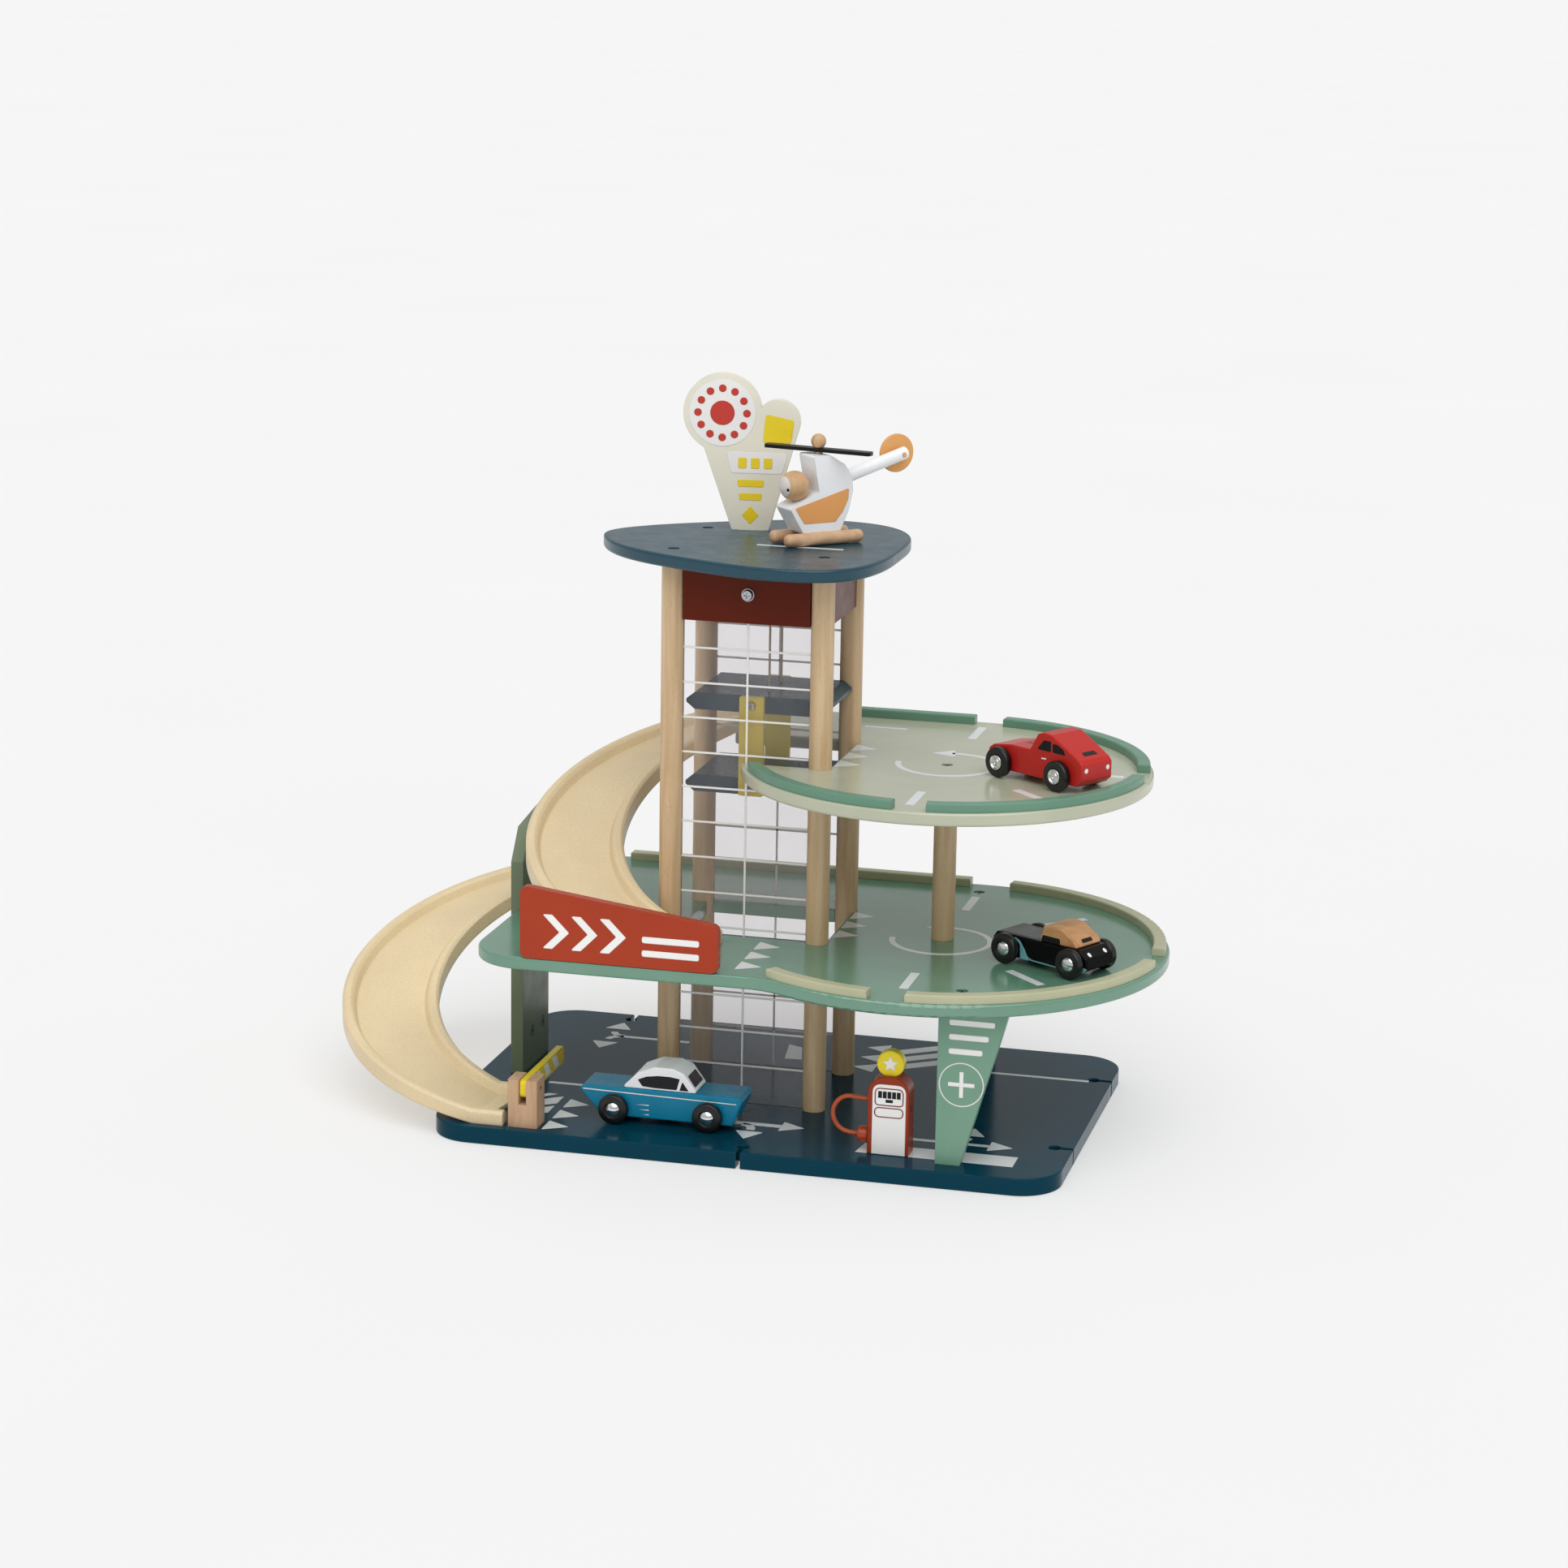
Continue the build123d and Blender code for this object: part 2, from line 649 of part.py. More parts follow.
# ---- ramps ----------------------------------------------------------------------------------------
def ramp_section(inner, outer, floor_under, floor_top):
    """The chute's outline in a flat plane: distance from the turning centre, and height."""
    wall = ramp_wall_width
    cut = ramp_edge_chamfer
    top = floor_top + ramp_wall_rise
    return [
        (inner, floor_under), (outer, floor_under), (outer, top - cut), (outer - cut, top),
        (outer - wall + cut, top), (outer - wall, top - cut), (outer - wall - cut, floor_top),
        (inner + wall + cut, floor_top), (inner + wall, top - cut), (inner + wall - cut, top),
        (inner + cut, top), (inner, top - cut),
    ]


def ramp_floor(share, start_z, end_z):
    """The height of the chute's underside and floor at a share of its turn."""
    eased = share - ramp_ease * math.sin(2 * math.pi * share) / (2 * math.pi)
    under_start = start_z - ramp_end_floor
    drop = under_start - end_z
    extra = (ramp_mid_floor - ramp_end_floor) * math.sin(math.pi * share)
    floor_top = under_start - drop * eased + ramp_end_floor
    return floor_top - ramp_end_floor - extra, floor_top


def make_ramp(name, centre, start_z, end_z):
    """A half-turn chute from the deck behind, round the left, down to the deck in front."""
    steps = 12
    sections = []
    for step in range(steps + 1):
        share = step / steps
        under, top = ramp_floor(share, start_z, end_z)
        points = ramp_section(ramp_inner_radius, ramp_outer_radius, under, top)
        plane = Plane(origin=(*centre, 0), x_dir=(*arc_point((0, 0), 1, 90 + 180 * share), 0),
                      z_dir=(*arc_point((0, 0), 1, 180 * share), 0))
        sections.append(plane * Polygon(*points, align=None))
    chute = loft(sections)
    x, y = centre
    under, top = ramp_floor(1.0, start_z, end_z)
    end_points = ramp_section(ramp_inner_radius, ramp_outer_radius, under, top)
    end_plane = Plane(origin=(x + ramp_run_out, y, 0), x_dir=(0, -1, 0), z_dir=(-1, 0, 0))
    run_out = extrude(end_plane * Polygon(*end_points, align=None), ramp_run_out)
    lane_inner = y - ramp_inner_radius - ramp_wall_width - ramp_edge_chamfer
    lane_outer = y - ramp_outer_radius + ramp_wall_width + ramp_edge_chamfer
    end_x = x + ramp_run_out
    mouth = Polygon((end_x - ramp_floor_setback, lane_outer), (end_x + 1, lane_outer),
                    (end_x + 1, lane_inner), (end_x - ramp_floor_setback / 2, lane_inner), align=None)
    run_out -= Pos(0, 0, under - 1) * extrude(mouth, ramp_end_floor + 2)
    keep(name, chute + run_out)


# ---- stands ---------------------------------------------------------------------------------------
def support_screw_seats():
    return [Pos(support_board_right_x, y, z) * Rot(0, 90, 0) for y, z in support_screw_places]


def make_stands():
    front, rear = support_board_y
    low_top, high_top = support_board_top
    side = Plane(origin=(support_board_left_x, 0, 0), x_dir=(0, 1, 0), z_dir=(1, 0, 0))
    outline = Polygon((front, base_thickness), (rear, base_thickness), (rear, high_top),
                      (front + 16, high_top - 6), (front, low_top), align=None)
    support = extrude(side * outline, support_board_thickness)
    for seat in support_screw_seats():
        support -= seat * screw_hole(length=support_screw_length, above=1.0)
    keep("ramp_support_board", support)
    x, y = rear_cylinder_place
    cylinder = rod(rear_cylinder_diameter, (x, y, base_thickness), (x, y, level_one_under))
    cylinder -= Pos(x, y, level_one_top - screw_recess_depth) * screw_hole()
    cylinder -= Pos(x, y, screw_recess_depth) * Rot(180, 0, 0) * screw_hole()
    keep("rear_cylinder", cylinder)
    left, right = pylon_x
    face = Plane(origin=(0, pylon_y + pylon_thickness / 2, 0), x_dir=(1, 0, 0), z_dir=(0, -1, 0))
    outline = Polygon((left, base_thickness), (right, base_thickness),
                      (pylon_top_right_x, level_one_under), (left, level_one_under), align=None)
    pylon = extrude(face * outline, pylon_thickness)
    x, y = pylon_screw_place
    pylon -= Pos(x, y, level_one_top - screw_recess_depth) * screw_hole()
    pylon -= Pos(sum(pylon_x) / 2, pylon_y, screw_recess_depth) * Rot(180, 0, 0) * screw_hole()
    keep("front_pylon", pylon)


# ---- signs ----------------------------------------------------------------------------------------
def make_entry_sign():
    left, right = entry_sign_x
    tall, low = entry_sign_heights
    face = Plane(origin=(0, entry_sign_back_y, level_one_top),
                 x_dir=(1, 0, 0), z_dir=(0, -1, 0))
    outline = Polygon((left, 0), (right, 0), (right, low), (left, tall), align=None)
    outline = fillet(outline.vertices(), entry_sign_corner_radius)
    keep("entry_sign_board", extrude(face * outline, entry_sign_thickness))


def make_roof_sign():
    head_x, head_z = roof_sign_head_centre
    lobe_x, lobe_z = roof_sign_lobe_centre
    half = roof_sign_foot_width / 2
    head = Pos(head_x, head_z) * Circle(roof_sign_head_radius)
    lobe = Pos(lobe_x, lobe_z) * Circle(roof_sign_lobe_radius)
    left = head_x - roof_sign_head_radius * 0.5
    taper = Polygon((-half, 0), (half, 0), (lobe_x + roof_sign_lobe_radius * 0.98, lobe_z - 3),
                    (lobe_x, lobe_z + roof_sign_lobe_radius * 0.8), (left, head_z - 22), align=None)
    tenon = Pos(0, -roof_sign_tenon / 2 + 0.5) * Rectangle(roof_sign_tenon_width, roof_sign_tenon + 1)
    outline = head + lobe + taper + tenon
    face = Plane(origin=(0, roof_sign_thickness / 2, 0), x_dir=(1, 0, 0), z_dir=(0, -1, 0))
    keep("roof_sign_board", roof_sign_frame() * extrude(face * outline, roof_sign_thickness))


# ---- gate -----------------------------------------------------------------------------------------
gate_pivot = (gate_block_centre[0], gate_block_centre[1], base_thickness + gate_pin_height)


def make_gate():
    wide, deep, tall = gate_block_size
    x, y = gate_block_centre
    body = block((x - wide / 2, x + wide / 2), (y - deep / 2, y + deep / 2),
                 (base_thickness, base_thickness + tall))
    body = fillet(body.edges().filter_by(Axis.Z), 1.0)
    swing = math.hypot(gate_arm_tail, gate_arm_height / 2) + gate_swing_gap
    slot_low = gate_pivot[2] - swing
    body -= block((x - gate_slot_width / 2, x + gate_slot_width / 2), (y - deep, y + deep),
                  (slot_low, base_thickness + tall + 1))
    body -= rod(gate_pin_diameter, (x - wide, gate_pivot[1], gate_pivot[2]),
                (x + wide, gate_pivot[1], gate_pivot[2]))
    body -= Pos(x, y, screw_recess_depth) * Rot(180, 0, 0) * screw_hole()
    keep("gate_block", body)
    keep("gate_pin", rod(gate_pin_diameter, (x - wide / 2, gate_pivot[1], gate_pivot[2]),
                         (x + wide / 2, gate_pivot[1], gate_pivot[2])))
    arm = block((x - gate_arm_thickness / 2, x + gate_arm_thickness / 2),
                (y - gate_arm_tail, y + gate_arm_reach),
                (gate_pivot[2] - gate_arm_height / 2, gate_pivot[2] + gate_arm_height / 2))
    arm = fillet(arm.edges().filter_by(Axis.X), 3.5)
    arm -= rod(gate_pin_diameter + 2 * gate_running_clearance, (x - wide, gate_pivot[1], gate_pivot[2]),
               (x + wide, gate_pivot[1], gate_pivot[2]))
    keep("gate_arm", arm)


# ---- fuel pump ------------------------------------------------------------------------------------
pump_left_x = pump_centre[0] - pump_size[0] / 2
nozzle_z = base_thickness + nozzle_height


def hose_route():
    """The hose's points: square out of the pump, round a half loop, square into the nozzle."""
    port_z = base_thickness + hose_port_height
    centre = (pump_left_x - hose_loop_reach, nozzle_z + hose_loop_radius)
    turn = 180 / hose_loop_corners
    reach = hose_loop_radius / math.cos(math.radians(turn / 2))
    loop = [arc_point(centre, reach, 90 + turn * (corner + 0.5)) for corner in range(hose_loop_corners)]
    return [(pump_left_x, port_z), (pump_left_x - hose_port_run, port_z), *loop,
            (pump_left_x - nozzle_length, nozzle_z)]


def tangent_path(points):
    """Straight runs joined by arcs as large as the runs allow, and the radii of the arcs."""
    radii = []
    for before, here, after in zip(points, points[1:], points[2:]):
        run_in = Vector(*here) - Vector(*before)
        run_out = Vector(*after) - Vector(*here)
        turn = math.radians(run_in.get_angle(run_out))
        radii.append(0.45 * min(run_in.length, run_out.length) / math.tan(turn / 2))
    return FilletPolyline(*points, radius=radii), radii


def make_pump():
    wide, deep, tall = pump_size
    x, y = pump_centre
    face = Plane(origin=(x, y + deep / 2, base_thickness), x_dir=(1, 0, 0), z_dir=(0, -1, 0))
    outline = Polygon((-wide / 2, 0), (wide / 2, 0), (wide / 2, tall), (-wide / 2, tall), align=None)
    shoulders = outline.vertices().group_by(Axis.Y)[-1]
    outline = fillet(shoulders, pump_shoulder_radius)
    globe_z = base_thickness + tall + pump_globe_diameter / 2 - pump_globe_sink
    globe = rod(pump_globe_diameter, (x, y - pump_globe_thickness / 2, globe_z),
                (x, y + pump_globe_thickness / 2, globe_z))
    seat = rod(pump_globe_diameter + 2 * screw_clearance, (x, y - pump_globe_thickness / 2 - 0.1, globe_z),
               (x, y + pump_globe_thickness / 2 + 0.1, globe_z))
    body = extrude(face * outline, deep)
    body = fillet(body.faces().sort_by(Axis.Y)[0].edges(), 1.0) - seat
    body -= Pos(x, y, screw_recess_depth) * Rot(180, 0, 0) * screw_hole()
    keep("pump_body", body)
    keep("pump_globe", fillet(globe.edges(), 1.2))
    points = [(px, y, pz) for px, pz in hose_route()]
    path, radii = tangent_path(points)
    start = Plane(origin=points[0], z_dir=Vector(*points[1]) - Vector(*points[0]))
    keep("pump_hose", sweep(start * Circle(hose_diameter / 2), path))
    print("hose length", round(path.length, 1), "radii", [round(radius, 1) for radius in radii])
    nozzle = rod(nozzle_diameter, (pump_left_x - nozzle_length, y, nozzle_z), (pump_left_x, y, nozzle_z))
    keep("pump_nozzle", fillet(nozzle.edges(), 1.8))


# ---- helicopter -----------------------------------------------------------------------------------
helicopter_frame = Pos(*helicopter_place, helipad_top + helicopter_rest_gap) * Rot(0, 0, helicopter_turn)
body_bottom = skid_diameter - skid_nesting
helicopter_profile = (
    (-16.0, 0.0), (13.0, 0.0), (19.5, 14.0), (23.0, 28.0), (22.0, 38.0), (16.0, 46.5), (4.0, helicopter_body_height),
    (-9.0, helicopter_body_height), (-4.0, 28.0), (-27.0, 18.0),
)


def make_helicopter():
    half = helicopter_body_width / 2
    upright = Plane(origin=(0, half, body_bottom), x_dir=(1, 0, 0), z_dir=(0, -1, 0))
    body = extrude(upright * Polygon(*helicopter_profile, align=None), helicopter_body_width)
    body = fillet(body.edges().filter_by(Axis.Y), 1.5)
    skids = [rod(skid_diameter, (-skid_length / 2, side * skid_spacing / 2, skid_diameter / 2),
                 (skid_length / 2, side * skid_spacing / 2, skid_diameter / 2)) for side in (-1, 1)]
    skids = [fillet(skid.edges().filter_by(GeomType.CIRCLE), skid_diameter * 0.42) for skid in skids]
    pilot_x, pilot_z = pilot_place
    pilot = Pos(pilot_x, 0, pilot_z) * Sphere(pilot_diameter / 2)
    boom = rod(boom_diameter, (boom_root[0], 0, boom_root[1]), (boom_tip[0], 0, boom_tip[1]))
    boom_room = rod(boom_diameter + 2 * screw_clearance, (boom_root[0], 0, boom_root[1]),
                    (boom_tip[0], 0, boom_tip[1]))
    boom = fillet(boom.edges().sort_by(Axis.X)[-1], 2.0)
    for skid in skids:
        body -= skid
    body -= pilot
    body -= boom_room
    mast_top = body_bottom + helicopter_body_height + rotor_lift
    bead_z = mast_top + rotor_thickness + bead_diameter / 2 - 0.8
    mast_bottom = mast_top - 14
    mast = rod(rotor_mast_diameter, (rotor_mast_x, 0, mast_bottom), (rotor_mast_x, 0, bead_z))
    body -= rod(rotor_mast_diameter + 2 * tail_running_clearance, (rotor_mast_x, 0, mast_bottom - 0.5),
                (rotor_mast_x, 0, mast_top + 5))
    collar = rod(2 * rotor_mast_diameter, (rotor_mast_x, 0, mast_top - rotor_lift + 0.2),
                 (rotor_mast_x, 0, mast_top))
    bead = Pos(rotor_mast_x, 0, bead_z) * Sphere(bead_diameter / 2)
    blade = block((-rotor_length / 2, rotor_length / 2), (-rotor_width / 2, rotor_width / 2),
                  (mast_top, mast_top + rotor_thickness))
    blade = fillet(blade.edges().filter_by(Axis.Z), 2.0)
    blade = Pos(rotor_mast_x, 0, 0) * Rot(0, 0, rotor_turn) * blade
    pin_and_bead = bead + mast + collar
    blade -= pin_and_bead
    disc_front = boom_diameter / 2 + 0.4
    tip_x = boom_tip[0] - 4.5
    tip_z = boom_tip[1] - 4.5 * (boom_tip[1] - boom_root[1]) / (boom_tip[0] - boom_root[0])
    disc = rod(tail_disc_diameter, (tip_x, disc_front, tip_z), (tip_x, disc_front + tail_disc_thickness, tip_z))
    disc = fillet(disc.edges(), 0.8)
    pin = rod(tail_pin_diameter, (tip_x, -disc_front, tip_z), (tip_x, disc_front + tail_disc_thickness, tip_z))
    boom -= rod(tail_pin_diameter + 2 * tail_running_clearance, (tip_x, -10, tip_z), (tip_x, 10, tip_z))
    keep("helicopter_body", helicopter_frame * body)
    keep("helicopter_skids", *[helicopter_frame * skid for skid in skids])
    keep("helicopter_pilot", helicopter_frame * pilot)
    keep("helicopter_tail_boom", helicopter_frame * boom)
    keep("helicopter_tail_disc", helicopter_frame * (disc + pin))
    keep("helicopter_rotor_blade", helicopter_frame * blade)
    keep("helicopter_rotor_pin", helicopter_frame * pin_and_bead)


# ---- cars -----------------------------------------------------------------------------------------
# Each profile runs along the car, nose towards +X, with heights above the road.
saloon_profile = ((-43.0, 4.5), (50.0, 4.5), (57.0, 22.0), (55.0, 25.0), (-56.0, 25.0), (-59.0, 22.0))
saloon_roof_profile = ((-29.0, 25.0), (25.0, 25.0), (15.0, 38.5), (7.0, 41.5), (-6.0, 41.5), (-18.0, 36.5))
coupe_profile = (
    (-42.0, 5.0), (36.0, 5.0), (40.0, 9.0), (40.0, 18.0), (36.0, 21.0), (20.0, 23.5), (2.0, 23.5),
    (-5.0, 35.0), (-10.0, 37.0), (-18.0, 36.5), (-31.0, 30.0), (-44.0, 23.0), (-46.5, 20.0), (-46.5, 9.0),
)
truck_profile = (
    (-38.0, 4.5), (35.0, 4.5), (41.0, 8.0), (39.0, 15.0), (33.0, 20.0), (-38.0, 20.0), (-41.0, 16.0),
    (-41.0, 8.0),
)
truck_cab_profile = ((-2.0, 20.0), (31.0, 20.0), (27.0, 25.0), (16.0, 31.5), (9.0, 32.5), (1.0, 31.0))


def side_profile(profile, width):
    upright = Plane(origin=(0, width / 2, 0), x_dir=(1, 0, 0), z_dir=(0, -1, 0))
    solid = extrude(upright * Polygon(*profile, align=None), width)
    return fillet(solid.edges(), car_edge_round)


def wheelset(x):
    """Two wheels on one axle, with a domed hub cap on each end of the axle."""
    axle_z = wheel_diameter / 2
    inner = car_body_width / 2 + wheel_side_gap
    outer = inner + wheel_width
    axle = rod(wheel_bore, (x, -outer, axle_z), (x, outer, axle_z))
    solids = []
    for side in (-1, 1):
        wheel = rod(wheel_diameter, (x, side * inner, axle_z), (x, side * outer, axle_z))
        wheel = fillet(wheel.edges(), 1.2)
        seat = outer - hub_recess_depth
        wheel -= rod(hub_recess_diameter, (x, side * seat, axle_z), (x, side * (outer + 1), axle_z))
        wheel -= rod(wheel_bore + 2 * screw_clearance, (x, side * (inner - 1), axle_z),
                     (x, side * (outer + 1), axle_z))
        solids.append(wheel)
        ball_radius = ((hub_dome_diameter / 2) ** 2 + hub_dome_height ** 2) / (2 * hub_dome_height)
        ball = Pos(x, side * (seat + hub_dome_height - ball_radius), axle_z) * Sphere(ball_radius)
        outward = rod(wheel_diameter, (x, side * (seat + screw_clearance), axle_z),
                      (x, side * (outer + wheel_diameter), axle_z))
        axle += ball & outward
    solids.append(axle)
    return solids


def make_car(name, place, turn, surface, wheelbase, solids_by_name):
    frame = Pos(*place, surface + wheel_rest_gap) * Rot(0, 0, turn)
    axle_z = wheel_diameter / 2
    for part_name, solid in solids_by_name.items():
        for x in (-wheelbase / 2, wheelbase / 2):
            solid -= rod(wheel_bore + 2 * wheel_running_clearance, (x, -car_body_width, axle_z),
                         (x, car_body_width, axle_z))
        keep(name + "_" + part_name, frame * solid)
    for end, x in (("front", wheelbase / 2), ("rear", -wheelbase / 2)):
        keep(name + "_" + end + "_wheels", *[frame * solid for solid in wheelset(x)])


def make_cars():
    roof_width = car_body_width - 3
    make_car("blue_car", blue_car_place, blue_car_turn, base_thickness, blue_car_wheelbase, {
        "body": side_profile(saloon_profile, car_body_width),
        "roof": side_profile(saloon_roof_profile, roof_width),
    })
    make_car("red_car", red_car_place, red_car_turn, level_two_top, red_car_wheelbase, {
        "body": side_profile(coupe_profile, car_body_width),
    })
    make_car("truck", truck_place, truck_turn, level_one_top, truck_wheelbase, {
        "body": side_profile(truck_profile, car_body_width),
        "cab": side_profile(truck_cab_profile, roof_width),
    })


# ---- screws ---------------------------------------------------------------------------------------
def make_screws():
    top = [Pos(x, y, z - screw_recess_depth) * screw() for x, y, z in top_screw_places]
    top += [seat * screw(length=support_screw_length) for seat in support_screw_seats()]
    keep("deck_screws", *top)
    below = [Pos(x, y, screw_recess_depth) * Rot(180, 0, 0) * screw() for x, y in base_screw_places]
    below.append(centre_post_screw * screw())
    keep("underside_screws", *below)


make_base_board()
make_level_one_board()
make_level_two_board()
make_helipad_board()
make_posts()
make_windows()
make_winch_panels()
make_winch()
make_cabin()
make_rails()
make_ramp("upper_ramp", upper_ramp_centre, level_two_top, level_one_top)
make_ramp("lower_ramp", lower_ramp_centre, level_one_top, base_thickness)
make_stands()
make_entry_sign()
make_roof_sign()
make_gate()
make_pump()
make_helicopter()
make_cars()
make_screws()

os.makedirs("parts", exist_ok=True)
for part_name, shape in parts.items():
    export_step(shape, "parts/" + part_name + ".step")
print(len(parts), "sub-parts written")
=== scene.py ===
import math

import bpy
from mathutils import Matrix, Vector


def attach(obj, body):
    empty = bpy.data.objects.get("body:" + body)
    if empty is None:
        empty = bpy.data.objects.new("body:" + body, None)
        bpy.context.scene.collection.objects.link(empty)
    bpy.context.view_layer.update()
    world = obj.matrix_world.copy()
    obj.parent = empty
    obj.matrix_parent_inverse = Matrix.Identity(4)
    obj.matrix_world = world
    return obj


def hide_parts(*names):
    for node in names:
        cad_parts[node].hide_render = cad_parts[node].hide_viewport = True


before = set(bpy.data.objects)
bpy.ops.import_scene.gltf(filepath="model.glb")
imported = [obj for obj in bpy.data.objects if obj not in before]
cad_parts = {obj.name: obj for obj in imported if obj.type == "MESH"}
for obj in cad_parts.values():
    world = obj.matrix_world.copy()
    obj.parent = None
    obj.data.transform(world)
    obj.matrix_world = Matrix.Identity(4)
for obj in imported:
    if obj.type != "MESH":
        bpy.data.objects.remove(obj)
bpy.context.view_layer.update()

# Sizes and places are in millimetres, as in the part's source. MM turns them into metres.
MM = 0.001

# ---- sizes repeated from the part ---------------------------------------------------------------
base_top = 12.0
level_one_top = 133.0
level_two_top = 257.0
helipad_top = 403.0
deck_thickness = 9.0
winch_panel_height = 39.0
rest_gap = 0.2
shaft_x = (-75.5, 30.0)
shaft_y = (-38.5, 50.0)
post_radius = 8.0
window_thickness = 2.0
wheel_radius = 10.5
wheel_width = 6.0
wheel_inner_y = 15.5
hub_recess = 1.0
car_half_width = 15.0
roof_half_width = 13.5
pump_place = (101.0, -112.5)
pump_half_width = 14.25
pump_half_depth = 8.25
globe_half_thickness = 4.0
gate_pivot = (-151.8, -127.3, 39.0)
gate_arm_half = 2.3
pylon_y = -124.0
pylon_half = 4.5
sign_half = 4.0
entry_face = 135.5
helicopter_place = (11.0, 16.3)
helicopter_turn = 44.5
helicopter_half_width = 10.0
pilot_place = (-18.0, 0.0, 40.5)
pilot_radius = 10.5

# How far a painted shape stands out of its surface, and how far it reaches in.
paint_proud = 0.12
paint_sink = 0.06


# ---- colours ------------------------------------------------------------------------------------
def colour(text):
    """A colour written as #rrggbb, turned into the linear values that a material takes."""
    channels = [int(text[i:i + 2], 16) / 255 for i in (1, 3, 5)]
    linear = [c / 12.92 if c <= 0.04045 else ((c + 0.055) / 1.055) ** 2.4 for c in channels]
    return (*linear, 1.0)


def shaded(rgba, factor):
    return (*[min(1.0, c * factor) for c in rgba[:3]], 1.0)


# ---- materials ----------------------------------------------------------------------------------
class Finish:
    """A material whose nodes are added one at a time."""

    def __init__(self, name):
        self.material = bpy.data.materials.new(name)
        self.material.use_nodes = True
        self.tree = self.material.node_tree
        self.tree.nodes.clear()
        self.output = self.tree.nodes.new("ShaderNodeOutputMaterial")
        self.shader = self.tree.nodes.new("ShaderNodeBsdfPrincipled")
        self.tree.links.new(self.shader.outputs["BSDF"], self.output.inputs["Surface"])
        self.coordinates = self.tree.nodes.new("ShaderNodeTexCoord")

    def link(self, source, target):
        self.tree.links.new(source, target)

    def stretched(self, scale):
        node = self.tree.nodes.new("ShaderNodeMapping")
        node.inputs["Scale"].default_value = scale
        self.link(self.coordinates.outputs["Object"], node.inputs["Vector"])
        return node.outputs["Vector"]

    def noise(self, scale, detail=3.0, stretch=(1.0, 1.0, 1.0), distortion=0.0):
        node = self.tree.nodes.new("ShaderNodeTexNoise")
        node.inputs["Scale"].default_value = scale
        node.inputs["Detail"].default_value = detail
        node.inputs["Distortion"].default_value = distortion
        self.link(self.stretched(stretch), node.inputs["Vector"])
        return node.outputs["Fac"]

    def remap(self, value, low, high, to_low, to_high):
        node = self.tree.nodes.new("ShaderNodeMapRange")
        self.link(value, node.inputs["Value"])
        node.inputs["From Min"].default_value = low
        node.inputs["From Max"].default_value = high
        node.inputs["To Min"].default_value = to_low
        node.inputs["To Max"].default_value = to_high
        return node.outputs["Result"]

    def mix(self, share, first, second):
        node = self.tree.nodes.new("ShaderNodeMix")
        node.data_type = "RGBA"
        self.link(share, node.inputs[0])
        for value, socket in ((first, node.inputs[6]), (second, node.inputs[7])):
            if isinstance(value, tuple):
                socket.default_value = value
            else:
                self.link(value, socket)
        return node.outputs[2]

    def soft_edges(self, radius):
        node = self.tree.nodes.new("ShaderNodeBevel")
        node.samples = 4
        node.inputs["Radius"].default_value = radius * MM
        return node.outputs["Normal"]

    def edge_mask(self, rounded_normal, start=0.01, end=0.20):
        """Near 1 along the piece's outer edges, and 0 on its faces."""
        geometry = self.tree.nodes.new("ShaderNodeNewGeometry")
        product = self.tree.nodes.new("ShaderNodeVectorMath")
        product.operation = "DOT_PRODUCT"
        self.link(rounded_normal, product.inputs[0])
        self.link(geometry.outputs["Normal"], product.inputs[1])
        return self.remap(product.outputs["Value"], 1.0 - start, 1.0 - end, 0.0, 1.0)

    def relief(self, height, strength, distance, normal=None):
        node = self.tree.nodes.new("ShaderNodeBump")
        node.inputs["Strength"].default_value = strength
        node.inputs["Distance"].default_value = distance * MM
        self.link(height, node.inputs["Height"])
        if normal is not None:
            self.link(normal, node.inputs["Normal"])
        return node.outputs["Normal"]

    def set(self, **values):
        names = {"base": "Base Color", "roughness": "Roughness", "metallic": "Metallic", "normal": "Normal"}
        for key, value in values.items():
            socket = self.shader.inputs[names[key]]
            if isinstance(value, (float, tuple)):
                socket.default_value = value
            else:
                self.link(value, socket)
        return self.material


def painted(name, base, roughness=0.18, shade=0.05, edge_round=0.7, edge_wear_and_highlight=0.10, orange_peel=0.05,
            mirror=0.5, speckle=0.0):
    """Lacquer on wood fibre board: cloudy tone, a fine orange peel, and paler edges, partly rubbed wear and
    partly a painted highlight.

    The mirror value is how strongly the lacquer reflects, and the speckle is how far fibres show."""
    finish = Finish(name)
    rgba = colour(base)
    cloud = finish.remap(finish.noise(22.0, 4.0), 0.3, 0.7, 0.0, 1.0)
    tone = finish.mix(cloud, shaded(rgba, 1.0 - shade), shaded(rgba, 1.0 + shade))
    normal = finish.soft_edges(edge_round)
    # Edges are mixed towards a paler tone: partly rubbed wear, partly a painted highlight.
    edge = finish.remap(finish.edge_mask(normal), 0.0, 1.0, 0.0, edge_wear_and_highlight)
    pale = (*[c + (1.0 - c) * 0.5 for c in rgba[:3]], 1.0)
    tone = finish.mix(edge, tone, pale)
    fibres = finish.remap(finish.noise(1100.0, 3.0), 0.45, 0.70, 0.0, speckle)
    tone = finish.mix(fibres, tone, shaded(rgba, 0.55))
    gloss = finish.remap(finish.noise(70.0, 5.0), 0.3, 0.7, roughness * 0.85, roughness * 1.2)
    fine = finish.relief(finish.noise(700.0, 2.0), orange_peel, 0.3, normal)
    finish.shader.inputs["Specular IOR Level"].default_value = mirror
    return finish.set(base=tone, roughness=gloss, normal=fine)


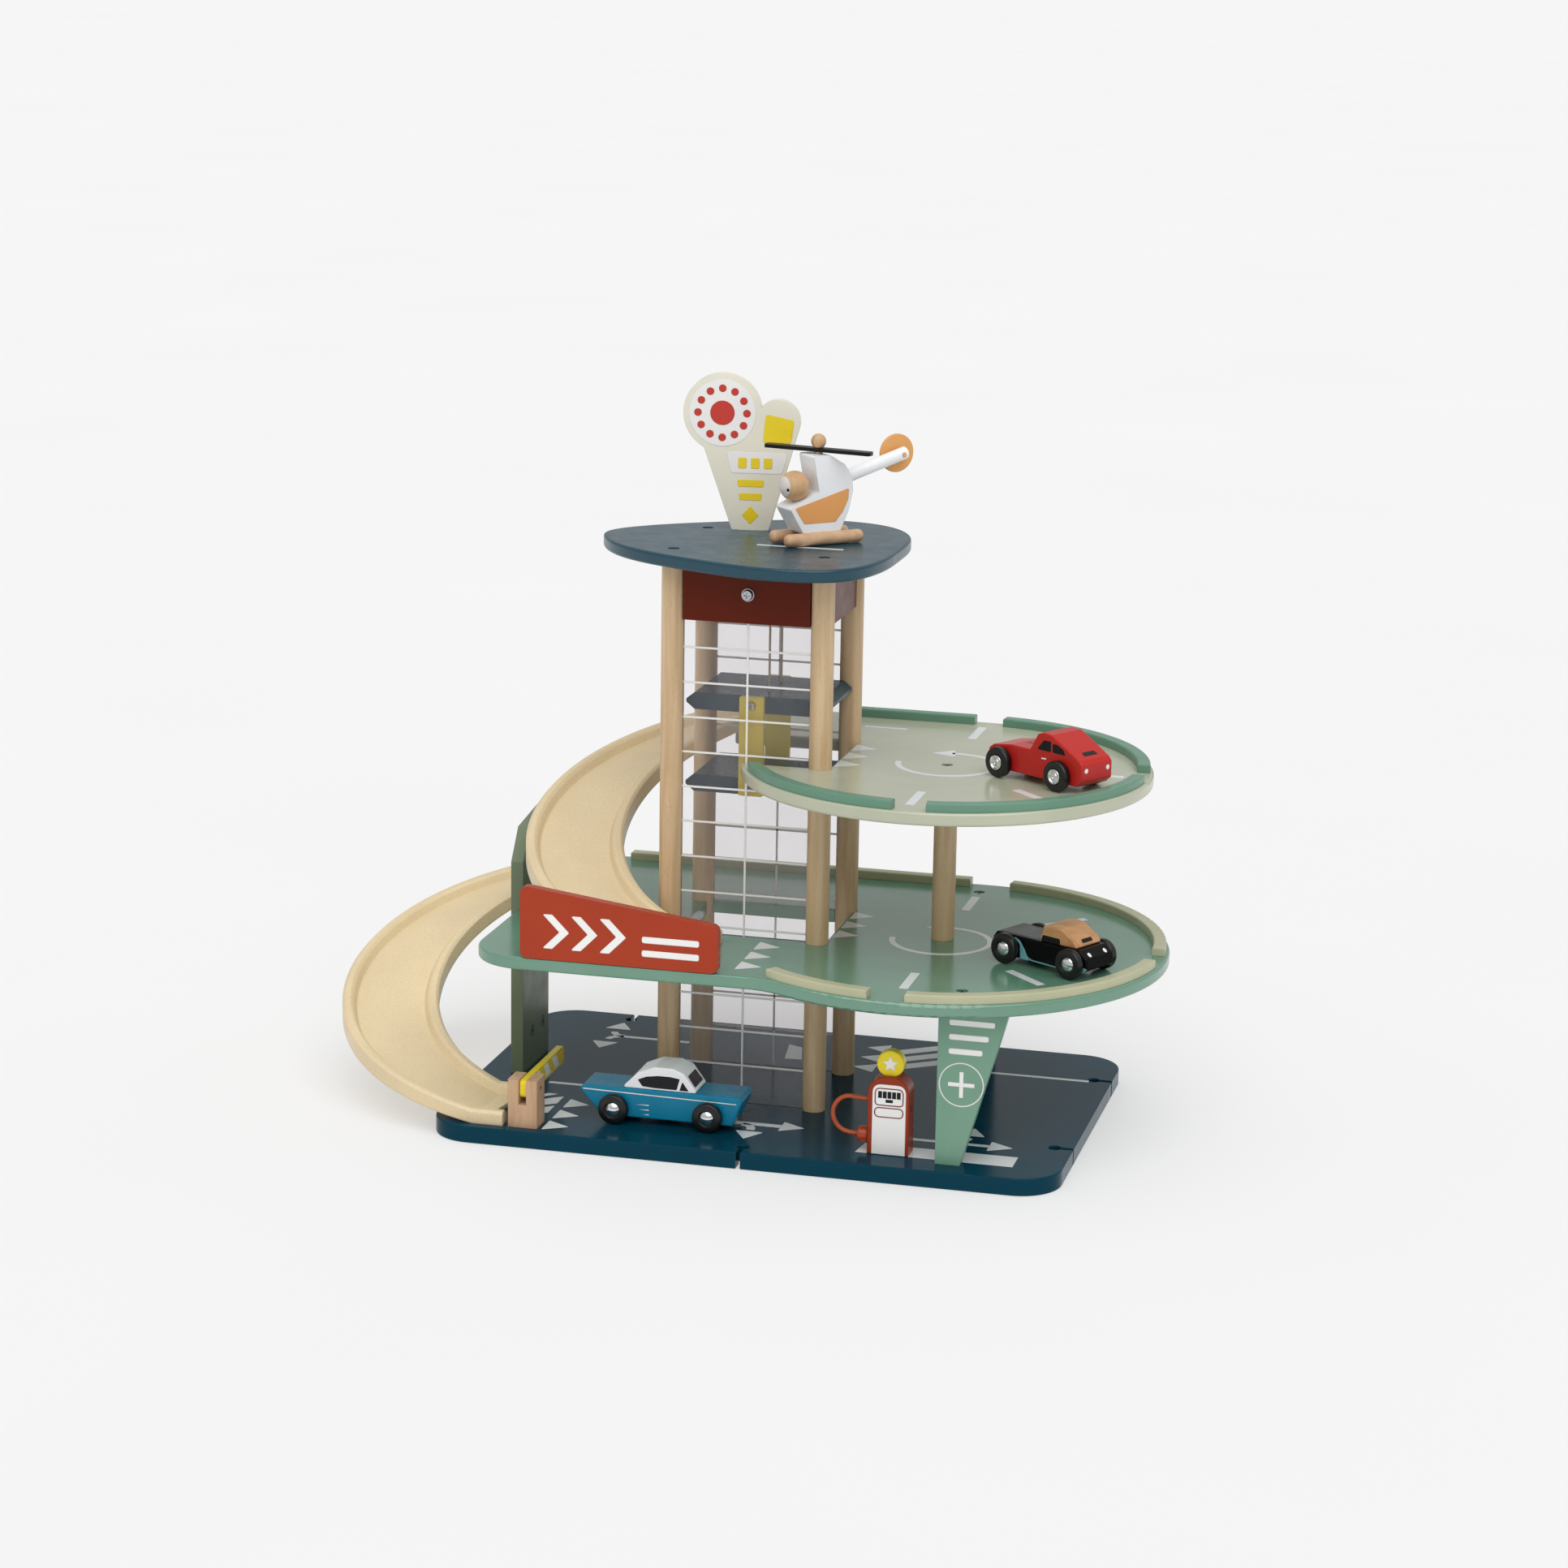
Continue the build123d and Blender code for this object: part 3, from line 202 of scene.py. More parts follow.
def wooden(name, light, dark, along="Z", roughness=0.42, figure=150.0, contrast=1.0, edge_round=0.7):
    """Bare beech: long soft figure, darker flecks, and fine pores along the grain."""
    finish = Finish(name)
    stretch = [1.0, 1.0, 1.0]
    stretch["XYZ".index(along)] = 0.07
    fleck_stretch = [1.0, 1.0, 1.0]
    fleck_stretch["XYZ".index(along)] = 0.16
    figure_share = finish.remap(finish.noise(figure, 5.0, stretch, 0.6), 0.34, 0.68, 0.0, contrast)
    tone = finish.mix(figure_share, colour(light), colour(dark))
    flecks = finish.remap(finish.noise(figure * 9.0, 2.0, fleck_stretch), 0.60, 0.74, 0.0, 0.32)
    tone = finish.mix(flecks, tone, shaded(colour(dark), 0.62))
    normal = finish.soft_edges(edge_round)
    pores = finish.noise(figure * 12.0, 3.0, stretch)
    gloss = finish.remap(figure_share, 0.0, 1.0, roughness * 0.9, roughness * 1.12)
    return finish.set(base=tone, roughness=gloss, normal=finish.relief(pores, 0.12, 0.25, normal))


def metal(name, base, roughness=0.12, brushed=0.04, edge_round=0.25):
    finish = Finish(name)
    rgba = colour(base)
    cloud = finish.remap(finish.noise(160.0, 4.0), 0.3, 0.7, 0.0, 1.0)
    tone = finish.mix(cloud, shaded(rgba, 0.93), shaded(rgba, 1.04))
    gloss = finish.remap(finish.noise(600.0, 3.0), 0.3, 0.7, roughness * 0.7, roughness * 1.5)
    normal = finish.relief(finish.noise(1200.0, 2.0), brushed, 0.1, finish.soft_edges(edge_round))
    return finish.set(base=tone, roughness=gloss, normal=normal, metallic=1.0)


def rubber(name, base, roughness=0.45, grain=500.0, relief=0.12):
    finish = Finish(name)
    rgba = colour(base)
    cloud = finish.remap(finish.noise(120.0, 3.0), 0.3, 0.7, 0.0, 1.0)
    tone = finish.mix(cloud, shaded(rgba, 0.85), shaded(rgba, 1.2))
    gloss = finish.remap(finish.noise(260.0, 3.0), 0.3, 0.7, roughness * 0.85, roughness * 1.2)
    normal = finish.relief(finish.noise(grain, 3.0), relief, 0.2, finish.soft_edges(0.3))
    return finish.set(base=tone, roughness=gloss, normal=normal)


def clear_plastic(name):
    """Clear sheet: see-through face on, mirror-like at a slant, with a faint milky haze."""
    finish = Finish(name)
    through = finish.tree.nodes.new("ShaderNodeBsdfTransparent")
    through.inputs["Color"].default_value = (0.98, 0.975, 0.98, 1.0)
    fresnel = finish.tree.nodes.new("ShaderNodeFresnel")
    fresnel.inputs["IOR"].default_value = 1.45
    haze = finish.remap(finish.noise(35.0, 4.0), 0.3, 0.7, 0.03, 0.05)
    share = finish.tree.nodes.new("ShaderNodeMath")
    share.operation = "ADD"
    share.use_clamp = True
    finish.link(fresnel.outputs["Fac"], share.inputs[0])
    finish.link(haze, share.inputs[1])
    blend = finish.tree.nodes.new("ShaderNodeMixShader")
    finish.link(share.outputs["Value"], blend.inputs["Fac"])
    finish.link(through.outputs["BSDF"], blend.inputs[1])
    finish.link(finish.shader.outputs["BSDF"], blend.inputs[2])
    finish.link(blend.outputs["Shader"], finish.output.inputs["Surface"])
    gloss = finish.remap(finish.noise(90.0, 3.0), 0.3, 0.7, 0.03, 0.06)
    cloud = finish.remap(finish.noise(18.0, 2.0), 0.3, 0.7, 0.0, 1.0)
    tone = finish.mix(cloud, colour("#d9d4d8"), colour("#e6e2e4"))
    return finish.set(base=tone, roughness=gloss)


def twisted(name, light, dark, scale=900.0):
    """Plied cotton cord."""
    finish = Finish(name)
    wave = finish.tree.nodes.new("ShaderNodeTexWave")
    wave.bands_direction = "DIAGONAL"
    wave.inputs["Scale"].default_value = scale
    wave.inputs["Distortion"].default_value = 1.0
    finish.link(finish.coordinates.outputs["Object"], wave.inputs["Vector"])
    tone = finish.mix(wave.outputs["Fac"], colour(dark), colour(light))
    return finish.set(base=tone, roughness=0.8, normal=finish.relief(wave.outputs["Fac"], 0.5, 0.3))


teal = painted("teal_lacquer", "#04394a", roughness=0.17, mirror=0.08)
green = painted("green_lacquer", "#628f78", roughness=0.18, mirror=1.0)
stone = painted("stone_lacquer", "#b5b9a1", roughness=0.20, mirror=1.0)
pad_teal = painted("pad_lacquer", "#0a4050", roughness=0.26, mirror=0.5)
blue_column = painted("column_lacquer", "#0b4d69", roughness=0.22, mirror=0.25)
pylon_green = painted("pylon_lacquer", "#749d86", roughness=0.30)
support_green = painted("support_lacquer", "#6f7c62", roughness=0.35, mirror=0.3)
ramp_cream = painted("ramp_lacquer", "#e6d1a8", roughness=0.36, edge_round=1.6, edge_wear_and_highlight=0.04,
                     speckle=0.30)
red_brown = painted("panel_lacquer", "#63200c", roughness=0.30, mirror=0.12)
rail_cream = painted("rail_cream_lacquer", "#b9b99a", roughness=0.32, mirror=0.3)
rail_green = painted("rail_green_lacquer", "#67907a", roughness=0.32, mirror=0.3)
sign_red = painted("sign_red_lacquer", "#a8391a", roughness=0.28, mirror=0.25)
sign_cream = painted("sign_cream_lacquer", "#ece8d6", roughness=0.34)
lift_teal = painted("lift_teal_lacquer", "#17414f", roughness=0.28, mirror=0.2)
# The lift plates' yellow is brighter than their paint: painted light that makes up for the dim light inside
# the shaft.
lift_yellow_painted_light = painted("lift_yellow_lacquer", "#f6dc3c", roughness=0.30)
arm_yellow = painted("arm_yellow_lacquer", "#ecd01a", roughness=0.28)
pump_red = painted("pump_red_lacquer", "#97361a", roughness=0.28, mirror=0.2)
globe_yellow = painted("globe_yellow_lacquer", "#f0d80c", roughness=0.25)
marking_white = painted("marking_white", "#dfe3e4", roughness=0.20, edge_wear_and_highlight=0.0, edge_round=0.1)
clean_white = painted("clean_white", "#f2f1ee", roughness=0.28, edge_wear_and_highlight=0.0)
body_white = painted("body_white_lacquer", "#eef0f2", roughness=0.30)
ink_red = painted("ink_red", "#c6301f", roughness=0.30, edge_wear_and_highlight=0.0)
ink_yellow = painted("ink_yellow", "#f2d60c", roughness=0.30, edge_wear_and_highlight=0.0)
ink_orange = painted("ink_orange", "#e5a057", roughness=0.30, edge_wear_and_highlight=0.0)
ink_black = painted("ink_black", "#101013", roughness=0.18, edge_wear_and_highlight=0.0, edge_round=0.15, mirror=0.25)
ink_maroon = painted("ink_maroon", "#7c2a2c", roughness=0.30, edge_wear_and_highlight=0.0, edge_round=0.1)
car_blue = painted("car_blue_lacquer", "#0a7da0", roughness=0.26, mirror=0.25)
car_red = painted("car_red_lacquer", "#bb2620", roughness=0.26, mirror=0.25)
car_black = painted("car_black_lacquer", "#060607", roughness=0.16, mirror=0.12)
car_teal = painted("car_teal", "#74b3b8", roughness=0.25, edge_wear_and_highlight=0.0)
disc_orange = painted("disc_orange_lacquer", "#e2a45e", roughness=0.38)
blade_black = painted("blade_black_lacquer", "#0f0f10", roughness=0.35, mirror=0.2)
bed_grey = painted("bed_grey", "#4b4c52", roughness=0.35, edge_wear_and_highlight=0.0)
post_wood = wooden("post_beech", "#dcc09a", "#c8a67c")
ball_wood = wooden("ball_beech", "#d8b48a", "#bd9267", along="Z", figure=110.0)
skid_wood = wooden("skid_beech", "#dbb691", "#c39a73", along="X", figure=120.0)
gate_wood = wooden("gate_beech", "#c9a583", "#b38c68", along="Z", figure=130.0)
cab_wood = wooden("cab_beech", "#d19f6f", "#b57f50", along="X", figure=120.0)
winch_wood = wooden("winch_beech", "#d8b285", "#bd9262", along="Y", figure=120.0)
face_paint = painted("face_paint", "#d9d3cf", roughness=0.4, edge_wear_and_highlight=0.0)
steel = metal("screw_steel", "#b9bcc0", roughness=0.26, brushed=0.10)
# The deck screws take a darker copy of the screw steel: painted shade from the countersunk holes they sit in.
painted_shade_steel = metal("recess_steel_painted_shade", "#6f7276", roughness=0.30, brushed=0.10)
chrome = metal("hub_chrome", "#e4e6e8", roughness=0.09)
tyre_rubber = rubber("tyre_rubber", "#0b0b0b", roughness=0.34)
hose_rubber = rubber("hose_rubber", "#b04d26", roughness=0.42, grain=900.0)
nozzle_paint = painted("nozzle_lacquer", "#b2431f", roughness=0.30)
cord_cotton = twisted("cord_cotton", "#d8cdb4", "#8f8469")
window_sheet = clear_plastic("window_sheet")

node_finish = {
    "base_board": teal, "level_one_board": green, "level_two_board": stone,
    "helipad_board": pad_teal,
    "lift_post_front_left": post_wood, "lift_post_front_right": post_wood,
    "lift_post_rear_left": post_wood, "lift_post_rear_right": post_wood, "centre_post": post_wood,
    "rear_cylinder": blue_column, "front_pylon": pylon_green, "ramp_support_board": support_green,
    "upper_ramp": ramp_cream, "lower_ramp": ramp_cream,
    "winch_panel_front": red_brown, "winch_panel_rear": red_brown, "winch_side_panels": red_brown,
    "window_front_upper": window_sheet, "window_rear_upper": window_sheet,
    "lower_windows": window_sheet,
    "level_one_rails": rail_cream, "level_two_rails": rail_green,
    "entry_sign_board": sign_red, "roof_sign_board": sign_cream,
    "lift_floor": lift_teal, "lift_roof": lift_teal, "lift_side_plates": lift_yellow_painted_light,
    "lift_screws": steel, "winch_drum": winch_wood, "winch_axle": steel,
    "crank_wheel": winch_wood, "crank_knob": winch_wood, "lift_cords": cord_cotton,
    "gate_block": gate_wood, "gate_arm": arm_yellow, "gate_pin": steel,
    "pump_body": pump_red, "pump_globe": globe_yellow, "pump_nozzle": nozzle_paint,
    "helicopter_body": body_white, "helicopter_skids": skid_wood, "helicopter_tail_boom": body_white,
    "helicopter_tail_disc": disc_orange, "helicopter_rotor_blade": blade_black,
    "helicopter_rotor_pin": ball_wood, "helicopter_pilot": ball_wood,
    "deck_screws": painted_shade_steel, "underside_screws": steel,
    "blue_car_body": car_blue, "blue_car_roof": body_white, "red_car_body": car_red,
    "truck_body": car_black, "truck_cab": cab_wood,
}

for node, finish in node_finish.items():
    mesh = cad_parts[node].data
    mesh.materials.clear()
    mesh.materials.append(finish)


# ---- shapes -------------------------------------------------------------------------------------
def placed(x, y, z, turn=0.0):
    """The frame of a piece that stands at a point and is turned about the upright."""
    return Matrix.Translation((x, y, z)) @ Matrix.Rotation(math.radians(turn), 4, "Z")


def rounded(points, radius, steps=4):
    """An outline with its corners rounded. The radius is one number, or one for each corner."""
    radii = radius if isinstance(radius, (list, tuple)) else [radius] * len(points)
    result = []
    for index, corner in enumerate(points):
        here = Vector(corner)
        before = Vector(points[index - 1]) - here
        after = Vector(points[(index + 1) % len(points)]) - here
        angle = before.angle(after)
        reach = radii[index] / math.tan(angle / 2)
        reach = min(reach, before.length * 0.49, after.length * 0.49)
        first = here + before.normalized() * reach
        last = here + after.normalized() * reach
        for step in range(steps + 1):
            share = step / steps
            point = first * (1 - share) ** 2 + here * 2 * share * (1 - share) + last * share ** 2
            result.append(tuple(point))
    return result


def circle(centre, radius, steps=48, start=0.0):
    return [(centre[0] + radius * math.cos(start + 2 * math.pi * i / steps),
             centre[1] + radius * math.sin(start + 2 * math.pi * i / steps)) for i in range(steps)]


def arc(centre, radius, start, end, steps=32):
    angles = [math.radians(start + (end - start) * i / steps) for i in range(steps + 1)]
    return [(centre[0] + radius * math.cos(a), centre[1] + radius * math.sin(a)) for a in angles]


def band(points, width):
    """The quads of a stroke of even width along a line of points."""
    sides = []
    for index, point in enumerate(points):
        before = Vector(points[max(index - 1, 0)])
        after = Vector(points[min(index + 1, len(points) - 1)])
        along = (after - before).normalized()
        across = Vector((-along.y, along.x)) * width / 2
        sides.append((tuple(Vector(point) + across), tuple(Vector(point) - across)))
    return [[a[1], b[1], b[0], a[0]] for a, b in zip(sides, sides[1:])]


def bar(x, y, length, width, turn=0.0, corner=0.6):
    """A straight stroke from a point, along a turn in degrees."""
    along = Vector((math.cos(math.radians(turn)), math.sin(math.radians(turn))))
    across = Vector((-along.y, along.x)) * width / 2
    start = Vector((x, y))
    end = start + along * length
    return rounded([tuple(start - across), tuple(end - across), tuple(end + across), tuple(start + across)],
                   corner)


class Prints:
    """Painted shapes: thin prisms a little proud of a surface, gathered into one piece."""

    def __init__(self):
        self.points = []
        self.faces = []

    def add(self, outline, where, origin, right, up, proud=paint_proud, sink=paint_sink):
        right = Vector(right).normalized()
        up = Vector(up).normalized()
        outward = right.cross(up)
        count = len(outline)
        start = len(self.points)
        for height in (-sink, proud):
            for u, v in outline:
                point = Vector(origin) + right * u + up * v + outward * height
                self.points.append(tuple((where @ point) * MM))
        area = sum(a[0] * b[1] - b[0] * a[1] for a, b in zip(outline, outline[1:] + outline[:1]))
        order = list(range(count)) if area > 0 else list(range(count))[::-1]
        self.faces.append([start + count + i for i in order])
        self.faces.append([start + i for i in order[::-1]])
        for a, b in zip(order, order[1:] + order[:1]):
            self.faces.append([start + a, start + b, start + count + b, start + count + a])
        return self

    def on_deck(self, outline, top):
        return self.add(outline, Matrix.Identity(4), (0, 0, top), (1, 0, 0), (0, 1, 0))

    def on_sides(self, outline, where, half_width, sides=(-1, 1), **depths):
        """On both sides of a car or the like: the outline is (along, height)."""
        for side in sides:
            flipped = [(-side * u, v) for u, v in outline]
            self.add(flipped, where, (0, side * half_width, 0), (-side, 0, 0), (0, 0, 1), **depths)
        return self

    def build(self, name, material, body, slot):
        return make_piece(name, self.points, self.faces, material, body)


def make_piece(name, points, faces, material, body, smooth=False):
    mesh = bpy.data.meshes.new(name)
    mesh.from_pydata(points, [], faces)
    mesh.materials.append(material)
    mesh.validate()
    if smooth:
        mesh.shade_smooth()
        mesh.set_sharp_from_angle(angle=math.radians(38))
    piece = bpy.data.objects.new(name, mesh)
    bpy.context.scene.collection.objects.link(piece)
    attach(piece, body)
    return piece


class Turned:
    """Shapes turned round the Y axis of a frame, gathered into one piece."""

    def __init__(self):
        self.points = []
        self.faces = []

    def add(self, profile, where, centre, steps=72, flip=False):
        """The profile is (radius, distance along Y), listed from one end to the other."""
        start = len(self.points)
        count = len(profile)
        for step in range(steps):
            angle = 2 * math.pi * step / steps
            for radius, along in profile:
                along = -along if flip else along
                point = Vector((centre[0] + radius * math.cos(angle), centre[1] + along,
                                centre[2] + radius * math.sin(angle)))
                self.points.append(tuple((where @ point) * MM))
        for step in range(steps):
            here = start + step * count
            there = start + ((step + 1) % steps) * count
            for i in range(count - 1):
                quad = [here + i, here + i + 1, there + i + 1, there + i]
                self.faces.append(quad[::-1] if flip else quad)
        return self

    def build(self, name, material, body, slot):
        return make_piece(name, self.points, self.faces, material, body, smooth=True)


# ---- markings on the base board -----------------------------------------------------------------
triangle_length = 16.5
triangle_width = 20.0
head_length = 16.5
head_width = 20.0
lane_width = 4.0


def triangle(x, y, facing=1):
    half = triangle_width / 2
    points = [(x, y - half), (x + facing * triangle_length, y), (x, y + half)]
    return rounded(points, [1.0, 0.6, 1.0])


def arrow_head(x, y, turn):
    """An arrow head whose base is centred on a point."""
    half = head_width / 2
    c, s = math.cos(math.radians(turn)), math.sin(math.radians(turn))
    points = [(0.0, -half), (head_length, 0.0), (0.0, half)]
    return rounded([(x + c * u - s * v, y + s * u + c * v) for u, v in points], [1.0, 0.5, 1.0])


base_marks = Prints()
for y in (-75.8, -100.8, -125.5):
    base_marks.on_deck(triangle(-138.6, y), base_top)
for outline in (
        [(-162.0, -63.0), (-162.0, -69.4), (-150.8, -57.6), (-158.0, -57.6)],
        [(-162.0, -75.0), (-162.0, -91.0), (-145.0, -77.8), (-145.0, -61.9)],
        [(-162.0, -96.6), (-162.0, -112.4), (-145.0, -99.2), (-145.0, -83.6)]):
    base_marks.on_deck(outline, base_top)
base_marks.on_deck(bar(-165.0, -33.0, 78.0, lane_width), base_top)

# The arrow in front of the shaft: straight on to the right, and a branch to the front.
base_marks.on_deck(bar(-46.0, -82.0, 64.0, 6.0), base_top)
base_marks.on_deck(arrow_head(17.6, -81.8, 0), base_top)
for quad in band(arc((-11.0, -94.0), 9.8, 80, -5, 12), 6.0):
    base_marks.on_deck(quad, base_top)
base_marks.on_deck(arrow_head(-0.9, -98.2, -90), base_top)

# The arrow to the right of the pump: straight on, and a branch to the back.
base_marks.on_deck(bar(104.0, -82.3, 60.0, 4.6), base_top)
base_marks.on_deck(arrow_head(163.6, -82.2, 0), base_top)
for quad in band(arc((137.0, -69.5), 10.0, -80, 0, 12), 5.0):
    base_marks.on_deck(quad, base_top)
base_marks.on_deck(arrow_head(147.0, -64.0, 90), base_top)

# The arrow at the back left: a stem from the right that branches to the back and to the front.
base_marks.on_deck(bar(-147.0, 87.4, 52.0, 4.6), base_top)
for quad in band(arc((-145.0, 98.4), 10.0, 270, 188, 12), 5.0):
    base_marks.on_deck(quad, base_top)
for quad in band(arc((-145.0, 77.4), 10.0, 90, 172, 12), 5.0):
    base_marks.on_deck(quad, base_top)
base_marks.on_deck(arrow_head(-154.6, 104.4, 90), base_top)
base_marks.on_deck(arrow_head(-154.6, 72.0, -90), base_top)

# Parking bay in front, and the markings at the back right.
base_marks.on_deck([(78.5, -119.6), (187.0, -120.4), (187.0, -99.6), (81.0, -99.8)], base_top)
for y in (114.4, 90.6, 66.6):
    base_marks.on_deck(triangle(50.0, y, facing=-1), base_top)
for y in (61.0, 81.0, 101.0):
    base_marks.on_deck([(57.0, y), (97.0, y + 29.0), (97.0, y + 42.0), (57.0, y + 13.0)], base_top)
base_marks.on_deck([(-23.4, 104.6), (-18.2, 70.0), (-5.6, 71.0), (-12.4, 99.6)], base_top)
base_marks.on_deck(bar(126.0, 80.6, 78.0, lane_width), base_top)
base_marks.build("base_markings", marking_white, "garage", "white_paint")

# ---- markings on the two decks ------------------------------------------------------------------
dash_start = 83.5
dash_end = 122.5
dash_width = 6.2
ring_radius = 34.2
ring_width = 4.2


def ring_marks(prints, centre, top, angles):
    """A turning arrow round the middle of a deck, with dashes set about it."""
    for quad in band(arc(centre, ring_radius, -180, 96, 72), ring_width):
        prints.on_deck(quad, top)
    end_x, end_y = arc(centre, ring_radius, 93, 96, 1)[0]
    prints.on_deck(arrow_head(end_x, end_y, 191), top)
    for angle in angles:
        c, s = math.cos(math.radians(angle)), math.sin(math.radians(angle))
        prints.on_deck(bar(centre[0] + dash_start * c, centre[1] + dash_start * s,
                           dash_end - dash_start, dash_width, angle), top)


level_one_marks = Prints()
ring_marks(level_one_marks, (111.5, -8.5), level_one_top, (90, 45, 0, -45, -90))
for y in (-58.9, -84.3, -109.7):
    level_one_marks.on_deck(triangle(-7.6, y), level_one_top)
for y in (37.6, 12.1, -13.3):
    level_one_marks.on_deck(triangle(37.3, y), level_one_top)
level_one_marks.build("level_one_markings", marking_white, "garage", "white_paint")

level_two_marks = Prints()
ring_marks(level_two_marks, (111.2, -1.0), level_two_top, (90, 45, 0, -45, -90))
for y in (29.4, 4.0, -21.6):
    level_two_marks.on_deck(triangle(38.0, y), level_two_top)
level_two_marks.on_deck(bar(30.0, 98.6, 31.0, lane_width), level_two_top)
level_two_marks.build("level_two_markings", marking_white, "garage", "white_paint")

helipad_marks = Prints()
helipad_marks.on_deck(bar(-25.5, -5.6, 61.0, 4.0), helipad_top)
helipad_marks.build("helipad_marking", marking_white, "garage", "white_paint")

# ---- white grid printed on the windows ----------------------------------------------------------
grid_width = 1.5
grid = Prints()
window_left = shaft_x[0] + post_radius
window_right = shaft_x[1] - post_radius
upper_lines = (335.5, 311.0, 286.5, 262.0, 237.5, 213.0, 188.0, 163.0, 138.5)
lower_lines = (89.5, 64.5, 39.5)
upright_x = -22.0
winch_panel_bottom = helipad_top - deck_thickness - winch_panel_height
level_one_under = level_one_top - deck_thickness
for y, facing in ((shaft_y[0], -1), (shaft_y[1], 1)):
    for lines, low, high in ((upper_lines, level_one_top, winch_panel_bottom),
                             (lower_lines, base_top, level_one_under)):
        for z in lines:
            grid.on_sides([(window_left, z - grid_width / 2), (window_right, z - grid_width / 2),
                           (window_right, z + grid_width / 2), (window_left, z + grid_width / 2)],
                          placed(0, y, 0), window_thickness / 2, sides=(facing,))
        grid.on_sides([(upright_x - grid_width / 2, low), (upright_x + grid_width / 2, low),
                       (upright_x + grid_width / 2, high), (upright_x - grid_width / 2, high)],
                      placed(0, y, 0), window_thickness / 2, sides=(facing,), proud=paint_proud + 0.02)
grid.build("window_grid", clean_white, "garage", "windows")

# ---- wheels -------------------------------------------------------------------------------------
tyre_bore = 2.1
tyre_round = 1.6
round_centre = wheel_radius - tyre_round
round_angles = (0.0, 0.4, 0.8, 1.2, math.pi / 2)
axle_radius = 2.0
outer_y = wheel_inner_y + wheel_width
seat_y = outer_y - hub_recess
tyre_profile = [(tyre_bore, seat_y), (5.4, seat_y), (5.6, seat_y + 0.2), (5.6, outer_y - 0.3), (5.9, outer_y),
                (8.2, outer_y), (8.5, outer_y - 0.12)]
tyre_profile += [(round_centre + tyre_round * math.sin(a), outer_y - 1.75 + tyre_round * math.cos(a))
                 for a in round_angles]
tyre_profile += [(round_centre + tyre_round * math.cos(a),
                  wheel_inner_y + tyre_round - tyre_round * math.sin(a))
                 for a in round_angles]
tyre_profile += [(tyre_bore, wheel_inner_y), (tyre_bore, seat_y)]
dome_radius = 5.3
dome_height = 2.4
ball = (dome_radius ** 2 + dome_height ** 2) / (2 * dome_height)
dome_angle = math.asin(dome_radius / ball)
dome_profile = [(axle_radius, seat_y - 0.02), (dome_radius, seat_y - 0.02)]
dome_profile += [(ball * math.sin(dome_angle * (1 - i / 10)),
                  seat_y + dome_height - ball + ball * math.cos(dome_angle * (1 - i / 10)))
                 for i in range(11)]
rim_profile = [(5.3, seat_y - 0.02), (5.3, seat_y + 0.9), (5.0, seat_y + 1.4), (4.5, seat_y + 1.5),
               (4.1, seat_y + 1.2), (3.7, seat_y + 0.6), (3.0, seat_y + 0.5), (2.6, seat_y + 0.7),
               (2.3, seat_y + 1.1), (1.9, seat_y + 1.2), (1.5, seat_y + 0.9), (1.2, seat_y + 0.6),
               (0.8, seat_y + 0.8), (0.4, seat_y + 1.0), (0.0, seat_y + 1.05)]
axle_profile = [(axle_radius, -seat_y), (axle_radius, seat_y)]

cars = {
    "blue_car": {"where": placed(-61.3, -91.2, base_top + rest_gap, 0.0), "wheelbase": 67.0,
                 "hub": dome_profile},
    "red_car": {"where": placed(184.4, -26.5, level_two_top + rest_gap, 147.1), "wheelbase": 54.0,
                "hub": rim_profile},
    "truck": {"where": placed(197.4, -47.2, level_one_top + rest_gap, -28.0), "wheelbase": 55.5,
              "hub": dome_profile},
}
for car, facts in cars.items():
    for end, side in (("front", 1), ("rear", -1)):
        centre = (side * facts["wheelbase"] / 2, 0.0, wheel_radius)
        body = car + "_" + end + "_wheelset"
        tyres = Turned()
        hubs = Turned()
        for flip in (False, True):
            tyres.add(tyre_profile, facts["where"], centre, flip=flip)
            hubs.add(facts["hub"], facts["where"], centre, flip=flip)
        hubs.add(axle_profile, facts["where"], centre)
        tyre_piece = tyres.build(car + "_" + end + "_tyres", tyre_rubber, body, "wheels")
        hubs.build(car + "_" + end + "_hubs", chrome, body, "wheels")
        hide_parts(car + "_" + end + "_wheels")

# ---- blue car -----------------------------------------------------------------------------------
blue = cars["blue_car"]["where"]
glass = Prints()
glass.on_sides(rounded([(-17.6, 31.7), (-11.5, 34.3), (-3.4, 35.5), (5.4, 35.6), (12.4, 34.6), (10.2, 26.6),
                        (-5.1, 26.6), (-14.2, 27.2)], 0.6), blue, roof_half_width)
glass.on_sides(rounded([(14.2, 32.8), (12.2, 26.4), (18.8, 26.4)], 0.3), blue, roof_half_width)
glass.build("blue_car_side_windows", ink_black, "blue_car", "blue_paint")


def slope_plate(prints, where, low, high, outline, **depths):
    """On a sloped face across a car, given by its low and high (along, height) edge."""
    origin = (low[0], 0.0, low[1])
    up = (high[0] - low[0], 0.0, high[1] - low[1])
    right = (0, 1, 0) if up[0] <= 0 else (0, -1, 0)
    return prints.add(outline, where, origin, right, up, **depths)


